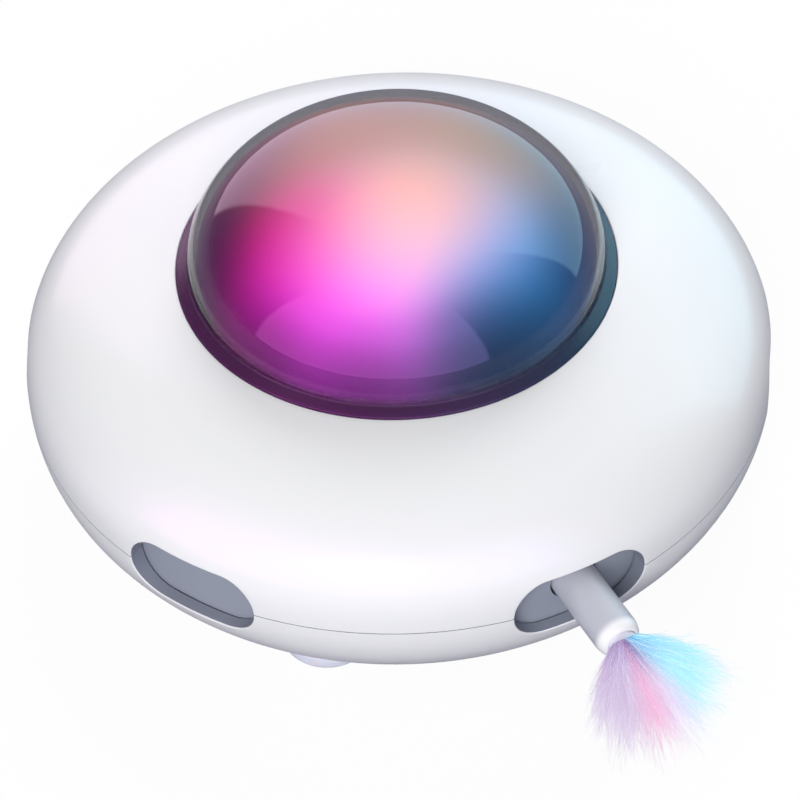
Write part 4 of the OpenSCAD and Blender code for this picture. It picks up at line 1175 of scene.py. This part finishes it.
floor_mesh = bpy.data.meshes.new("studio_floor")
corners = [(-1, -1), (1, -1), (1, 1), (-1, 1)]
floor_mesh.from_pydata([(x * FLOOR_HALF, y * FLOOR_HALF, FLOOR_Z) for x, y in corners],
                       [], [(0, 1, 2, 3)])
floor = placed("studio_floor", floor_mesh)

floor_finish, tree, shader, where = finish_of("floor_paper")
path = add(tree, "ShaderNodeLightPath").outputs
seen = reckoned(tree, "MAXIMUM", path["Is Camera Ray"], path["Is Transmission Ray"])
feed(tree, shader, base_color=mixed(tree, seen, FLOOR_BOUNCE, FLOOR_SEEN), roughness=0.9)
white = add(tree, "ShaderNodeEmission", strength=1.0)
share = reckoned(tree, "MULTIPLY", seen, WHITE_SHARE)
show(tree, add(tree, "ShaderNodeMixShader", share, shader.outputs[0], white.outputs[0]))
floor_mesh.materials.append(floor_finish)
print("floor at", FLOOR_Z)

# %% [markdown]
# ### Sky and reflector panels
# The sky gives even light, paler towards the horizon, which leaves soft shade round the dome's
# foot. What the polished lens mirrors is a different matter: two tall panels, one behind the toy
# and one in front of it, with dark gaps to the left and right. Their straight edges make the
# crisp arcs on the dome, as a softbox would. Here the sky shows the panels to mirrored rays only,
# as a function of direction: the share of the direction's level part that points along the panels'
# axis says which panel it meets, and the panels fade out overhead.

# %% World
PANEL_TURN = math.radians(164.5)
PANEL_EDGE = (0.49, 0.53)
PANEL_FADE = (0.91, 0.60)
SKY_LOW, SKY_HIGH = [[strength * c for c in (0.95, 0.97, 1.0)] + [1] for strength in (0.66, 0.18)]
BACK_PANEL = ((2.5, 1.7, 2.2, 1), (1.2, 2.2, 2.7, 1))
FRONT_PANEL = ((3.1, 0.9, 2.8, 1), (1.6, 1.3, 3.1, 1))
PANEL_GAP = (0.05, 0.05, 0.055, 1)

world = bpy.data.worlds.new("studio_air")
bpy.context.scene.world = world
world.use_nodes = True
tree = world.node_tree
direction = add(tree, "ShaderNodeTexCoord").outputs["Generated"]
panel_axis = math.sin(PANEL_TURN) * right - math.cos(PANEL_TURN) * forward
rise = along(tree, direction, "Z")
level_square = reckoned(tree, "SUBTRACT", 1.0, reckoned(tree, "MULTIPLY", rise, rise))
level_part = reckoned(tree, "SQRT", reckoned(tree, "MAXIMUM", level_square, 1e-6))
on_axis = vectors(tree, "DOT_PRODUCT", direction, panel_axis)["Value"]
facing = reckoned(tree, "DIVIDE", on_axis, level_part)
fade = ramp(tree, rise, *PANEL_FADE)
behind = reckoned(tree, "MULTIPLY", ramp(tree, facing, *PANEL_EDGE), fade)
before = reckoned(tree, "MULTIPLY", ramp(tree, facing, -PANEL_EDGE[0], -PANEL_EDGE[1]), fade)
side = ramp(tree, vectors(tree, "DOT_PRODUCT", direction, right)["Value"], -0.8, 0.8)
mirrored = mixed(tree, behind, PANEL_GAP, mixed(tree, side, *BACK_PANEL))
mirrored = mixed(tree, before, mirrored, mixed(tree, side, *FRONT_PANEL))
sky = mixed(tree, ramp(tree, rise, 0.0, 1.0), SKY_LOW, SKY_HIGH)
path = add(tree, "ShaderNodeLightPath").outputs
only_mirrored = reckoned(tree, "SUBTRACT", path["Is Glossy Ray"], path["Is Transmission Ray"])
feed(tree, tree.nodes["Background"], color=mixed(tree, only_mirrored, sky, mirrored), strength=1.0)
print("world", len(tree.nodes), "nodes")

# %% [markdown]
# ### The lamps
# Large, soft lamps. The front one stands to the left, so the flank turns darker to the right,
# where a weak one fills in. The back one shines over the dome, whose soft shadow then lies on the
# shell in front of it.

# %% Lamps
LAMP_AIM = np.array([0, 0, 0.03])
LAMP_AWAY = 1.5


def soft_lamp(name, turn, rise, size, power):
    """A square area lamp at a turn from the camera's side (degrees, to the right) and a rise above
    the floor. It faces the toy, and mirrored rays don't see it."""
    turn, rise = math.radians(turn), math.radians(rise)
    level_way = math.cos(rise) * (math.sin(turn) * right - math.cos(turn) * forward)
    at = LAMP_AWAY * (level_way + [0, 0, math.sin(rise)])
    data = bpy.data.lights.new(name, "AREA")
    data.size = size
    data.energy = power
    z_axis = (at - LAMP_AIM) / np.linalg.norm(at - LAMP_AIM)
    x_axis = np.cross([0, 1, 0.1], z_axis)
    x_axis /= np.linalg.norm(x_axis)
    lamp = placed(name, data, [x_axis, np.cross(z_axis, x_axis), z_axis, at])
    lamp.visible_glossy = False
    lamp.visible_transmission = False


soft_lamp("front_lamp", -12, 34, 0.7, 17.0)
soft_lamp("side_lamp", 98, 20, 0.8, 1.5)
soft_lamp("back_lamp", 172, 36, 0.8, 13.5)
bpy.context.scene.view_settings.view_transform = "Standard"
